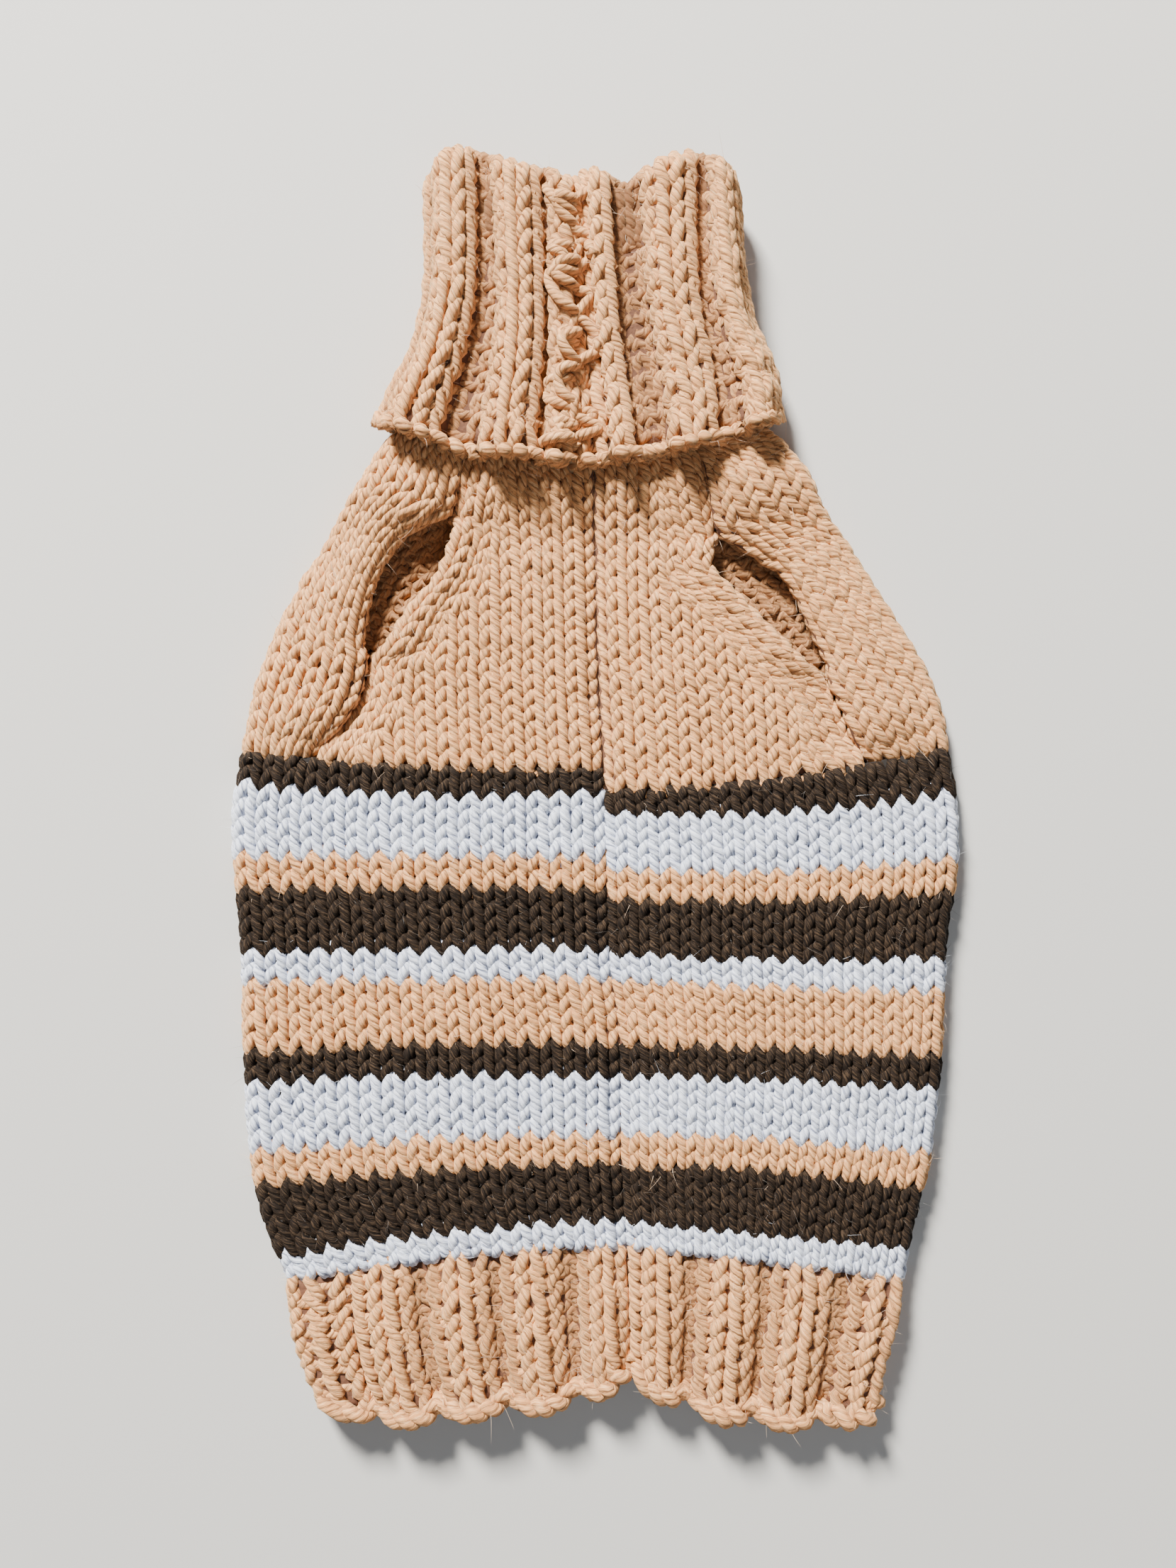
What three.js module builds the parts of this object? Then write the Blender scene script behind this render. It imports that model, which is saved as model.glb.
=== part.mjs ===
// A hand-knitted dog sweater laid flat, belly side up, its rib collar folded over.
// Millimetres. +Y runs from the hem to the collar, +Z is up, and Z = 0 is the surface that it lies on.
import * as THREE from 'three';

// Cloth sizes
const cloth = 4.6; // a chunky stocking stitch, about one and a quarter yarns thick
const seamGap = 0.3; // between pieces that are joined
const hollow = 0.8; // left inside the tube between its front and its back
const layered = (2 * cloth + hollow) / 2; // outer radius of the tube's side folds
const lining = layered - cloth; // inner radius of the side folds
const layCentre = { x: 0, y: -0.87 }; // middle of the laid garment in the frame of the tables below

// Neck sizes
const collarGap = 0.3; // between the neck's stand and the part of the collar folded over it
const stackHeight = 2 * (layered + collarGap + cloth + 0.1); // four layers of the folded collar
const neckMiddle = stackHeight / 2; // height of the neck's middle plane
const neckLift = neckMiddle - layered; // how far the folded collar under the neck lifts the yoke
const liftFrom = 84; // where the yoke starts to rise toward the neck
const liftTo = 107; // where it has risen
const standLeft = -54; // sides of the neck's stand
const standRight = 45;

// Relief sizes
const pillow = 1.6; // how far the front bellies up on each side of the seam
const bandBulge = 3.4; // how far the back's edges bulge over the front beside the leg openings
const edgeRoll = 2.0; // roll of the chest's slanted edges
const hemRise = 2.2; // how far the hem's ribs stand above the gaps between them
const hemScallop = 3.2; // how far each rib reaches past the gaps at the hem's edge
const hemCorner = { left: -212, right: -214, notch: -205 }; // its lowest points at the sides, and its notch
const hemUnder = { middle: -197, side: -211 }; // the hem's edge underneath, hidden by the front's
const collarFlare = 1.2; // lift of the collar's free edge
const collarUnder = { middle: 112, side: 127 }; // the collar's free edge underneath
const collarCorner = { left: 127, right: 129 }; // where that edge crosses the side folds

// Colours of the yarns
const peach = 0xe4b891;
const stripes = 0x9c8b82;

// The garment's sides as it lies, from the hem to the neck
const sides = [
  { y: -214, left: -94.5, right: 98 },
  { y: -199, left: -102.5, right: 101.5 },
  { y: -184, left: -106.9, right: 105.7 },
  { y: -168, left: -109.2, right: 108.4 },
  { y: -156, left: -114.4, right: 110.9 },
  { y: -143, left: -118.1, right: 113.6 },
  { y: -128, left: -121.1, right: 117.4 },
  { y: -86, left: -123.3, right: 121.6 },
  { y: -48, left: -124.4, right: 123.4 },
  { y: -31, left: -126.3, right: 126.8 },
  { y: -10, left: -127.3, right: 126.8 },
  { y: 3, left: -125.3, right: 125.3 },
  { y: 21, left: -122.3, right: 122.3 },
  { y: 37, left: -118.3, right: 117.9 },
  { y: 53, left: -112.4, right: 108.7 },
  { y: 67, left: -105.7, right: 100 },
  { y: 81, left: -96.8, right: 91.1 },
  { y: 95, left: -88.8, right: 80.6 },
  { y: 108, left: -80.1, right: 74 },
  { y: 118, left: -73.5, right: 66 },
  { y: 124, left: -65, right: 56.5 },
  { y: 130, left: standLeft, right: standRight },
];

// The belly seam wanders to the right toward the hem
const seam = [
  { y: -220, x: 12.6 },
  { y: -160, x: 11 },
  { y: -130, x: 9 },
  { y: -85, x: 8.2 },
  { y: -60, x: 5 },
  { y: 0, x: 3 },
  { y: 50, x: 0.6 },
  { y: 130, x: -1 },
];

// Lines of knitting between pieces: heights at the seam, half way out and at the side fold
const hemLine = { left: [-160, -162.5, -171], right: [-160, -164, -170.8] };
const yokeLine = { left: [7.1, 7.7, 12.8], right: [-0.5, 3.6, 14] };
const neckLine = { left: [117, 120, 130], right: [117, 120, 130] };

// The hem's free edge, measured between its ribs; place is -1 and 1 at the side folds and 0 at the seam
const hemEdge = [
  { place: -1.1, y: -209 },
  { place: -1, y: -212 },
  { place: -0.9, y: -216 },
  { place: -0.7, y: -216.3 },
  { place: -0.45, y: -212.6 },
  { place: -0.2, y: -210.5 },
  { place: -0.1, y: -207 },
  { place: 0, y: -200.5 },
  { place: 0.1, y: -207 },
  { place: 0.25, y: -212 },
  { place: 0.55, y: -216.5 },
  { place: 0.8, y: -218 },
  { place: 1, y: -215 },
  { place: 1.1, y: -211 },
];

// The hem's ribs, by the same places
const hemRibs = [
  { from: -1.12, to: -0.85 },
  { from: -0.83, to: -0.65 },
  { from: -0.61, to: -0.42 },
  { from: -0.39, to: -0.2 },
  { from: -0.15, to: -0.01 },
  { from: 0.01, to: 0.21 },
  { from: 0.26, to: 0.5 },
  { from: 0.54, to: 0.78 },
  { from: 0.84, to: 1.12 },
];

// The slanted leg openings: the edge of the back, wrapped forward as a band, and the edge of the chest.
// Where the two are the same the pieces meet along a crease.
const legLeft = [
  { y: 4, band: -101.5, chest: -101.5 },
  { y: 15, band: -94.6, chest: -94.6 },
  { y: 21, band: -88.8, chest: -88.8 },
  { y: 31, band: -82.1, chest: -82.1 },
  { y: 43, band: -79.2, chest: -79.2 },
  { y: 51, band: -78.7, chest: -73.3 },
  { y: 58, band: -77.7, chest: -69.4 },
  { y: 65.5, band: -76.3, chest: -63.8 },
  { y: 72, band: -74.3, chest: -57.9 },
  { y: 80, band: -70, chest: -53.9 },
  { y: 86, band: -65, chest: -51.8 },
  { y: 90, band: -59, chest: -50.6 },
  { y: 94, band: -50.4, chest: -50.4 },
  { y: 107, band: -47, chest: -47 },
  { y: 120, band: -43, chest: -43 },
];
const legRight = [
  { y: 0, band: 99, chest: 99 },
  { y: 10, band: 93.8, chest: 93.8 },
  { y: 18, band: 88.9, chest: 88.9 },
  { y: 26, band: 86, chest: 86 },
  { y: 36.5, band: 81.1, chest: 81.1 },
  { y: 42, band: 79, chest: 75.8 },
  { y: 52, band: 74, chest: 65.7 },
  { y: 58, band: 71, chest: 59.8 },
  { y: 63.5, band: 69, chest: 54.1 },
  { y: 69.5, band: 65.7, chest: 48.3 },
  { y: 75, band: 61.5, chest: 42.8 },
  { y: 80, band: 53.5, chest: 41.8 },
  { y: 85, band: 45.5, chest: 42.6 },
  { y: 89, band: 41.6, chest: 41.6 },
  { y: 107, band: 38, chest: 38 },
  { y: 120, band: 35, chest: 35 },
];

// The collar: its sides fan out below the fold, and its two ends stand up like ears
const collarSeam = -8;
const collarSides = [
  { y: 122, left: -75.6, right: 64.4 },
  { y: 130, left: -75.3, right: 64.2 },
  { y: 142, left: -71.1, right: 63.6 },
  { y: 151, left: -66.5, right: 61 },
  { y: 161, left: -62.8, right: 57.3 },
  { y: 171, left: -60.2, right: 54 },
  { y: 185, left: -59.2, right: 51.8 },
  { y: 215, left: -59.2, right: 49.8 },
];
const collarTop = [
  { x: -60, y: 206 },
  { x: -54, y: 214.5 },
  { x: -49, y: 218.8 },
  { x: -41, y: 218.6 },
  { x: -33, y: 216.2 },
  { x: -26, y: 213 },
  { x: -16, y: 212.6 },
  { x: -9, y: 208.4 },
  { x: -2, y: 211.2 },
  { x: 3, y: 211 },
  { x: 10, y: 208 },
  { x: 17, y: 212.4 },
  { x: 25, y: 215.6 },
  { x: 34, y: 218.4 },
  { x: 40, y: 216.4 },
  { x: 45, y: 211 },
  { x: 51, y: 203 },
];
const collarEnd = [
  { place: -1.3, y: 127 },
  { place: -1, y: 120.4 },
  { place: -0.6, y: 113 },
  { place: -0.3, y: 111.6 },
  { place: 0, y: 109.6 },
  { place: 0.3, y: 111.4 },
  { place: 0.6, y: 114.6 },
  { place: 1, y: 122 },
  { place: 1.3, y: 129 },
];

// The collar's ribs at the fold and at its free edge, and how far each stands up
const collarRibs = [
  { topFrom: -1.16, topTo: -0.81, endFrom: -1.14, endTo: -0.77, rise: 2.4 },
  { topFrom: -0.66, topTo: -0.26, endFrom: -0.55, endTo: -0.2, rise: 2.4 },
  { topFrom: -0.2, topTo: -0.01, endFrom: -0.15, endTo: -0.01, rise: 1.5 },
  { topFrom: 0.12, topTo: 0.25, endFrom: 0.22, endTo: 0.34, rise: 1.8 },
  { topFrom: 0.48, topTo: 0.88, endFrom: 0.53, endTo: 0.78, rise: 2.4 },
  { topFrom: 0.96, topTo: 1.2, endFrom: 0.94, endTo: 1.14, rise: 2.4 },
];

// Reads a column of a table by its key column, smoothly between rows and level past the ends.
function read(table, key, at, column) {
  const last = table.length - 1;
  if (at <= table[0][key]) return table[0][column];
  if (at >= table[last][key]) return table[last][column];
  const i = table.findIndex((row) => row[key] > at) - 1;
  const slope = (a, b) => (table[b][column] - table[a][column]) / (table[b][key] - table[a][key]);
  const span = table[i + 1][key] - table[i][key];
  const t = (at - table[i][key]) / span;
  const startSlope = slope(Math.max(i - 1, 0), i + 1) * span;
  const endSlope = slope(i, Math.min(i + 2, last)) * span;
  const start = table[i][column];
  const end = table[i + 1][column];
  const bend = t * (1 - t);
  return (
    THREE.MathUtils.lerp(start, end, t * t * (3 - 2 * t)) +
    startSlope * bend * (1 - t) -
    endSlope * bend * t
  );
}

const mix = THREE.MathUtils.lerp;
const rampUp = THREE.MathUtils.smoothstep;
const yokeLift = (y) => neckLift * rampUp(y, liftFrom, liftTo);

// A height on a line of knitting: a parabola through its three heights.
function lineHeight(line, side, across) {
  const [atSeam, halfWay, atFold] = line[side];
  const curve = 2 * (atSeam + atFold - 2 * halfWay);
  return atSeam + across * (atFold - atSeam - curve * (1 - across));
}

// Cross-section of a rib: level on top, steep at its sides.
const ribShape = (t) => (t <= 0 || t >= 1 ? 0 : 1 - Math.abs(2 * t - 1) ** 3);
const ribSteps = [0, 0.16, 0.5, 0.84, 1];

// Stations round a flattened tube, from the seam on the front over the left fold, under the back and
// over the right fold to the seam again. facing is the way the cloth faces, in degrees from +X to +Z.
function stationsRound(frontLeft, frontRight, foldSteps, backSteps) {
  const stations = frontLeft.map((across) => ({ side: 'left', on: 'front', across, facing: 90 }));
  for (let i = 1; i < foldSteps; i += 1) {
    stations.push({ side: 'left', on: 'fold', across: 1, facing: 90 + (180 * i) / foldSteps });
  }
  for (let i = 0; i <= backSteps; i += 1) {
    stations.push({ side: 'under', on: 'back', across: i / backSteps, facing: 270 });
  }
  for (let i = 1; i < foldSteps; i += 1) {
    stations.push({ side: 'right', on: 'fold', across: 1, facing: 270 + (180 * i) / foldSteps });
  }
  const right = [...frontRight].reverse();
  return stations.concat(right.map((across) => ({ side: 'right', on: 'front', across, facing: 450 })));
}

// A point of a flattened tube's wall. ends holds the middle line's two ends and where the front's two
// edges lie on it, and radius is how far the surface lies from that line.
function tubeXZ(station, ends, radius) {
  const facing = THREE.MathUtils.degToRad(station.facing);
  let x = mix(ends.left, ends.right, station.across);
  if (station.side === 'left') x = mix(ends.edgeLeft, ends.left, station.across);
  if (station.side === 'right') x = mix(ends.edgeRight, ends.right, station.across);
  return { x: x + radius * Math.cos(facing), z: ends.middle + radius * Math.sin(facing) };
}

// How far round from the seam a station is: -1 and 1 at the folds' tops, more on the folds.
function placeOf(station, half, radius) {
  const sign = station.side === 'left' ? -1 : 1;
  if (station.on === 'front') return sign * station.across;
  const turned = station.side === 'left' ? station.facing - 90 : 450 - station.facing;
  return sign * (1 + (radius * THREE.MathUtils.degToRad(turned)) / half);
}

// A height on the pair of lines that bound a tube piece, for one station.
function stationHeight(line, station) {
  if (station.on === 'back') return mix(line.left[2], line.right[2], station.across);
  return lineHeight(line, station.side, station.across);
}

// Closed wall between two grids of points, outside and inside, with its four edges filled in.
function wall(name, outside, inside, colour) {
  const rows = outside.length;
  const columns = outside[0].length;
  const points = [...outside.flat(), ...inside.flat()];
  const out = (i, j) => i * columns + j;
  const into = (i, j) => (rows + i) * columns + j;
  const index = [];
  const quad = (a, b, c, d) => index.push(a, b, c, a, c, d);
  for (let j = 0; j < columns - 1; j += 1) {
    quad(out(0, j), into(0, j), into(0, j + 1), out(0, j + 1));
    quad(out(rows - 1, j), out(rows - 1, j + 1), into(rows - 1, j + 1), into(rows - 1, j));
  }
  for (let i = 0; i < rows - 1; i += 1) {
    for (let j = 0; j < columns - 1; j += 1) {
      quad(out(i, j), out(i, j + 1), out(i + 1, j + 1), out(i + 1, j));
      quad(into(i, j), into(i + 1, j), into(i + 1, j + 1), into(i, j + 1));
    }
    quad(out(i, 0), out(i + 1, 0), into(i + 1, 0), into(i, 0));
    quad(out(i, columns - 1), into(i, columns - 1), into(i + 1, columns - 1), out(i + 1, columns - 1));
  }
  let volume = 0;
  for (let k = 0; k < index.length; k += 3) {
    const [a, b, c] = [points[index[k]], points[index[k + 1]], points[index[k + 2]]];
    volume += a.dot(new THREE.Vector3().crossVectors(b, c));
  }
  if (volume < 0) index.reverse();
  const geometry = new THREE.BufferGeometry();
  const flat = points.flatMap((p) => [p.x - layCentre.x, p.y - layCentre.y, p.z]);
  geometry.setAttribute('position', new THREE.Float32BufferAttribute(flat, 3));
  geometry.setIndex(index);
  geometry.computeVertexNormals();
  const material = new THREE.MeshStandardMaterial({ color: colour, roughness: 0.95, metalness: 0 });
  const mesh = new THREE.Mesh(geometry, material);
  mesh.name = name;
  return mesh;
}

// Grid of points: one row for each step up the piece, one column for each station.
function grid(steps, stations, point) {
  return Array.from({ length: steps + 1 }, (_, i) => stations.map((station) => point(i / steps, station)));
}

// The flattened tube's middle line where one row of knitting crosses it.
function bodyEnds(leftY, rightY, seamY) {
  const middle = layered + yokeLift((leftY + rightY) / 2);
  const seamX = read(seam, 'y', seamY, 'x');
  return {
    left: read(sides, 'y', leftY, 'left') + layered,
    right: read(sides, 'y', rightY, 'right') - layered,
    edgeLeft: seamX - seamGap / 2,
    edgeRight: seamX + seamGap / 2,
    middle,
  };
}

// The striped body: a flattened tube, open at the belly seam.
function bodyStripes() {
  const rows = 10;
  const front = [0, 0.05, 0.15, 0.27, 0.4, 0.53, 0.66, 0.79, 0.9, 1];
  const stations = stationsRound(front, front, 5, 7);
  const point = (radius) => (up, station) => {
    const y = mix(stationHeight(hemLine, station) + seamGap, stationHeight(yokeLine, station), up);
    const leftY = mix(hemLine.left[2], yokeLine.left[2], up);
    const rightY = mix(hemLine.right[2], yokeLine.right[2], up);
    const seamY = mix(hemLine.left[0], yokeLine.left[0], up);
    const { x, z } = tubeXZ(station, bodyEnds(leftY, rightY, seamY), radius);
    const belly = station.on === 'front' ? pillow * Math.sin(Math.PI * station.across) : 0;
    return new THREE.Vector3(x, y, z + belly);
  };
  const outside = grid(rows, stations, point(layered));
  return wall('body_stripes', outside, grid(rows, stations, point(lining)), stripes);
}

// Stations' places across a front half that carries ribs, from the seam out.
function ribbedFront(ribs, sign) {
  const edges = ribs.flatMap((rib) => ribSteps.map((t) => sign * mix(rib.from, rib.to, t)));
  const inside = edges.filter((across) => across > 0.02 && across < 0.99);
  return [0, ...inside.sort((a, b) => a - b), 1];
}

// The hem: the same tube drawn in by ribs, longer at each rib and notched at the seam.
function hemRib() {
  const stations = stationsRound(ribbedFront(hemRibs, -1), ribbedFront(hemRibs, 1), 6, 8);
  const rib = (place) => {
    const found = hemRibs.find(({ from, to }) => place >= from && place <= to);
    return found ? ribShape((place - found.from) / (found.to - found.from)) : 0;
  };
  const half = -hemCorner.left / 2;
  const point = (radius, raised) => (up, station) => {
    const onTop = station.on !== 'back' && (station.facing <= 180 || station.facing >= 360);
    const place = placeOf(station, half, layered);
    const raise = onTop ? rib(place) : 0;
    const under = mix(hemUnder.middle, hemUnder.side, (2 * station.across - 1) ** 2);
    const edge = station.on === 'back' ? under : read(hemEdge, 'place', place, 'y');
    const y = mix(edge - hemScallop * raise, stationHeight(hemLine, station), up);
    const leftY = mix(hemCorner.left, hemLine.left[2], up);
    const rightY = mix(hemCorner.right, hemLine.right[2], up);
    const ends = bodyEnds(leftY, rightY, mix(hemCorner.notch, hemLine.left[0], up));
    const lift = raised ? hemRise * raise * Math.min(1, 0.45 + 1.1 * (1 - up)) : 0;
    const { x, z } = tubeXZ(station, ends, radius);
    const upward = Math.max(0, Math.sin(THREE.MathUtils.degToRad(station.facing)));
    const belly = station.on === 'front' ? pillow * Math.sin(Math.PI * station.across) : 0;
    return new THREE.Vector3(x, y, z + belly + lift * upward);
  };
  const outside = grid(5, stations, point(layered, true));
  const inside = grid(5, stations, point(lining, false));
  return wall('hem_rib', outside, inside, peach);
}

// Where a row of the yoke, up from the striped body to the neck, crosses an edge of a leg opening.
function legEdge(table, column, side, up, farX) {
  let across = 0.7;
  let x = 0;
  let y = 0;
  for (let pass = 0; pass < 8; pass += 1) {
    y = mix(lineHeight(yokeLine, side, across) + seamGap, lineHeight(neckLine, side, across), up);
    x = read(table, 'y', y, column);
    const seamX = read(seam, 'y', y, 'x');
    across = (x - seamX) / (farX - seamX);
  }
  return { x, y, across };
}

// The back: it lies underneath, wraps round both sides and comes forward as two bands.
function backYoke() {
  const acrossBand = [0, 0.1, 0.3, 0.52, 0.76, 1];
  const stations = stationsRound(acrossBand, acrossBand, 5, 7);
  const rows = 16;
  const point = (radius) => (up, station) => {
    const leftY = mix(yokeLine.left[2] + seamGap, neckLine.left[2], up);
    const rightY = mix(yokeLine.right[2] + seamGap, neckLine.right[2], up);
    const ends = bodyEnds(leftY, rightY, leftY);
    const left = legEdge(legLeft, 'band', 'left', up, ends.left);
    const right = legEdge(legRight, 'band', 'right', up, ends.right);
    ends.edgeLeft = Math.max(left.x, ends.left + seamGap);
    ends.edgeRight = Math.min(right.x, ends.right - seamGap);
    let y = mix(leftY, rightY, station.across);
    if (station.side === 'left') y = mix(left.y, leftY, station.across);
    if (station.side === 'right') y = mix(right.y, rightY, station.across);
    ends.middle = layered + yokeLift(y);
    const { x, z } = tubeXZ(station, ends, radius);
    const calm = rampUp(up, 0, 0.16) * (1 - rampUp(up, 0.62, 0.82));
    const over = Math.sin(0.75 * Math.PI * (1 - station.across));
    const bulge = station.on === 'front' ? bandBulge * calm * over : 0;
    return new THREE.Vector3(x, y, z + bulge);
  };
  const outside = grid(rows, stations, point(layered));
  return wall('back_yoke', outside, grid(rows, stations, point(lining)), peach);
}

// A chest panel: from the belly seam to the slanted edge of a leg opening, which is rolled.
function chest(name, side, table) {
  const sign = side === 'left' ? -1 : 1;
  const across = [0, 0.06, 0.2, 0.36, 0.52, 0.68, 0.8, 0.88, 0.94, 1];
  const stations = across.map((at) => ({ at }));
  const rows = 15;
  const point = (height, raised) => (up, { at }) => {
    const foldY = mix(yokeLine[side][2] + seamGap, neckLine[side][2], up);
    const ends = bodyEnds(foldY, foldY, foldY);
    const far = ends[side];
    const band = legEdge(table, 'band', side, up, far);
    const edge = legEdge(table, 'chest', side, up, far);
    const open = sign * (band.x - edge.x);
    const seamY = mix(yokeLine[side][0] + seamGap, neckLine[side][0], up);
    const seamX = read(seam, 'y', seamY, 'x') + (sign * seamGap) / 2;
    const reach = open > seamGap ? edge.x : band.x - sign * seamGap;
    const x = mix(seamX, reach, at);
    const y = mix(yokeLine[side][0], neckLine[side][0], up);
    const out = edge.across * at;
    const bent = mix(lineHeight(yokeLine, side, out), lineHeight(neckLine, side, out), up);
    const belly = pillow * Math.sin(Math.PI * Math.min(1, out)) * (1 - rampUp(y, 80, 100));
    const roll = raised ? edgeRoll * rampUp(at, 0.8, 0.94) * rampUp(open, 0, 6) : 0;
    const z = layered + yokeLift(bent) + height + belly + roll;
    return new THREE.Vector3(x, bent + seamGap * (1 - up), z);
  };
  const outside = grid(rows, stations, point(layered, true));
  return wall(name, outside, grid(rows, stations, point(lining, false)), peach);
}

// Stations' places across a collar half, at the fold and at the free edge, from the seam out.
function collarFront(sign) {
  const edges = collarRibs.flatMap((rib) =>
    ribSteps.map((t) => ({
      across: sign * mix(rib.topFrom, rib.topTo, t),
      atEnd: sign * mix(rib.endFrom, rib.endTo, t),
    })),
  );
  const lowest = ({ across, atEnd }) => Math.min(across, atEnd);
  const highest = ({ across, atEnd }) => Math.max(across, atEnd);
  const inside = edges.filter((edge) => lowest(edge) > 0.03 && highest(edge) < 0.99);
  inside.sort((a, b) => a.across - b.across);
  return [{ across: 0, atEnd: 0 }, ...inside, { across: 1, atEnd: 1 }];
}

// The collar: the neck's ribbed stand, the fold at its top, and the turned-down half outside it.
function collar() {
  const left = collarFront(-1);
  const right = collarFront(1);
  const stations = stationsRound(left.map((s) => s.across), right.map((s) => s.across), 6, 10);
  left.forEach((s, i) => Object.assign(stations[i], { atEnd: s.atEnd }));
  right.forEach((s, i) => Object.assign(stations[stations.length - 1 - i], { atEnd: s.atEnd }));
  const standRows = 4;
  const foldRows = 6;
  const downRows = 8;
  const foldRadius = (stackHeight / 2 - lining) / 2;
  const foldMiddle = lining + foldRadius;
  const faceSteps = [];
  for (let i = 0; i < standRows; i += 1) faceSteps.push({ stand: i / standRows });
  for (let i = 0; i <= foldRows; i += 1) faceSteps.push({ turned: (Math.PI * i) / foldRows });
  for (let i = 1; i <= downRows; i += 1) faceSteps.push({ down: i / downRows });

  const rib = (place, down) => {
    const found = collarRibs.find((r) => {
      const from = mix(r.topFrom, r.endFrom, down);
      return place >= from && place <= mix(r.topTo, r.endTo, down);
    });
    if (!found) return 0;
    const from = mix(found.topFrom, found.endFrom, down);
    return found.rise * ribShape((place - from) / (mix(found.topTo, found.endTo, down) - from));
  };

  const point = (step, station, outer) => {
    const down = step.down ?? 0;
    const turned = step.turned ?? (down > 0 ? Math.PI : 0);
    const bendRadius = outer ? foldRadius : foldRadius - cloth;
    const radius = foldMiddle - bendRadius * Math.cos(turned);
    const leftY = mix(read(collarTop, 'x', standLeft, 'y'), collarCorner.left, down);
    const rightY = mix(read(collarTop, 'x', standRight, 'y'), collarCorner.right, down);
    const ends = {
      left: read(collarSides, 'y', leftY, 'left') + neckMiddle,
      right: read(collarSides, 'y', rightY, 'right') - neckMiddle,
      edgeLeft: collarSeam - seamGap / 2,
      edgeRight: collarSeam + seamGap / 2,
      middle: neckMiddle,
    };
    if (step.stand !== undefined) {
      const low = 1 - step.stand;
      ends.left = mix(ends.left, standLeft + layered, low);
      ends.right = mix(ends.right, standRight - layered, low);
      ends.edgeLeft = mix(ends.edgeLeft, -seamGap / 2, low);
      ends.edgeRight = mix(ends.edgeRight, seamGap / 2, low);
    }
    const along = { ...station, across: mix(station.across, station.atEnd ?? station.across, down) };
    const middleX = tubeXZ(along, ends, foldMiddle).x;
    const top = read(collarTop, 'x', middleX, 'y') - foldRadius;
    const half = (ends.right - ends.left) / 2;
    const place = placeOf(along, half, neckMiddle);
    let y = top + bendRadius * Math.sin(turned);
    if (step.stand !== undefined) y = mix(stationHeight(neckLine, station) + seamGap, top, step.stand);
    if (down > 0) {
      const underEnd = mix(collarUnder.middle, collarUnder.side, (2 * station.across - 1) ** 2);
      const end = station.on === 'back' ? underEnd : read(collarEnd, 'place', place, 'y');
      y = mix(top, end, down);
    }
    const { x, z } = tubeXZ(along, ends, radius);
    const facesUp = Math.max(0, Math.sin(THREE.MathUtils.degToRad(station.facing)));
    const past = outer && turned > Math.PI / 2 ? Math.sin(turned / 2) ** 8 : 0;
    const raise = rib(place, down) * facesUp * past;
    const flare = collarFlare * facesUp * rampUp(down, 0.6, 1);
    return new THREE.Vector3(x, y, z + raise + flare);
  };
  const outside = faceSteps.map((step) => stations.map((station) => point(step, station, true)));
  const inside = faceSteps.map((step) => stations.map((station) => point(step, station, false)));
  return wall('collar', outside, inside, peach);
}

const sweater = new THREE.Group();
sweater.add(
  hemRib(),
  bodyStripes(),
  backYoke(),
  chest('chest_left', 'left', legLeft),
  chest('chest_right', 'right', legRight),
  collar(),
);

export default sweater;
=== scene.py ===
# %% [markdown]
# # A hand-knitted dog sweater
# The sweater lies flat, belly side up, with its rib collar folded over. Knitting is one yarn that runs
# to and fro in loops, and all that the eye sees is that yarn. A picture of stitches on a smooth cloth
# would be quick, but it looks printed from near by. So this lesson makes the yarn itself: each row of
# stitches is a tube swept along the real path of a stitch, laid on the garment's form.
#
# The first cell loads that form, six solids in metres.

# %% Start from the solids
import math

import bpy
import numpy as np
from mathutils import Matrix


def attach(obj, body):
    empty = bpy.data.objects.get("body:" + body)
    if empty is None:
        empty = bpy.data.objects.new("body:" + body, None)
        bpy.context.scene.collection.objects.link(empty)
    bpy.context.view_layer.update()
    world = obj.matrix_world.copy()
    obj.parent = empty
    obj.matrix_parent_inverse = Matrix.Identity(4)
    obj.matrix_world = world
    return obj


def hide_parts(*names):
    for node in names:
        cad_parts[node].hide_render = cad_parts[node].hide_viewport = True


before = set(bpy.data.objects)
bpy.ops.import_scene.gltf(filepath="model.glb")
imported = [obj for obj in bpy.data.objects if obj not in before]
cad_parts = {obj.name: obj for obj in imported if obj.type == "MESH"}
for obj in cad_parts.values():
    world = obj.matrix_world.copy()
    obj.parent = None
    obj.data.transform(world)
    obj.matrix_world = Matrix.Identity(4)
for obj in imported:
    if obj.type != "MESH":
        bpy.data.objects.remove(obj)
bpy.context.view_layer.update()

MM = 0.001
rng = np.random.default_rng(7)

# %% [markdown]
# ## Sizes of the cloth
# The solids were worked out from a few sizes, in millimetres, and the yarn has to lie where they are.
# So the same sizes stand here. The wall of a solid is 4.6 mm thick, and the yarn's loops run along the
# middle of that wall. Two layers of it lie on each other with a thin hollow between them, and separate
# pieces are 0.3 mm apart. Measuring all this on the solids' meshes would take far more lines.

# %% Cloth and yarn sizes
CLOTH = 4.6
HOLLOW = 0.8
PIECE_GAP = 0.3
HALF_GAP = PIECE_GAP / 2
LAYERED = (2 * CLOTH + HOLLOW) / 2
MID_WALL = LAYERED - CLOTH / 2
LAY_CENTRE = np.array([0.0, -0.87, 0.0])
STITCH_WIDTH = 7.6
YARN_RADIUS = 1.95
print("yarn", 2 * YARN_RADIUS, "mm thick, cloth", CLOTH, "mm, two layers", 2 * LAYERED, "mm")

# %% [markdown]
# ## Lying on the surface
# Soft loops under a garment are pressed flat by its weight, and round tubes would stick through the
# surface. Cutting them off there would leave holes. So all that lies lower than a small height is
# squeezed in between that height and the surface, and nothing passes it.

# %% Pressing the underside flat
PRESS_BELOW = 0.6


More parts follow.
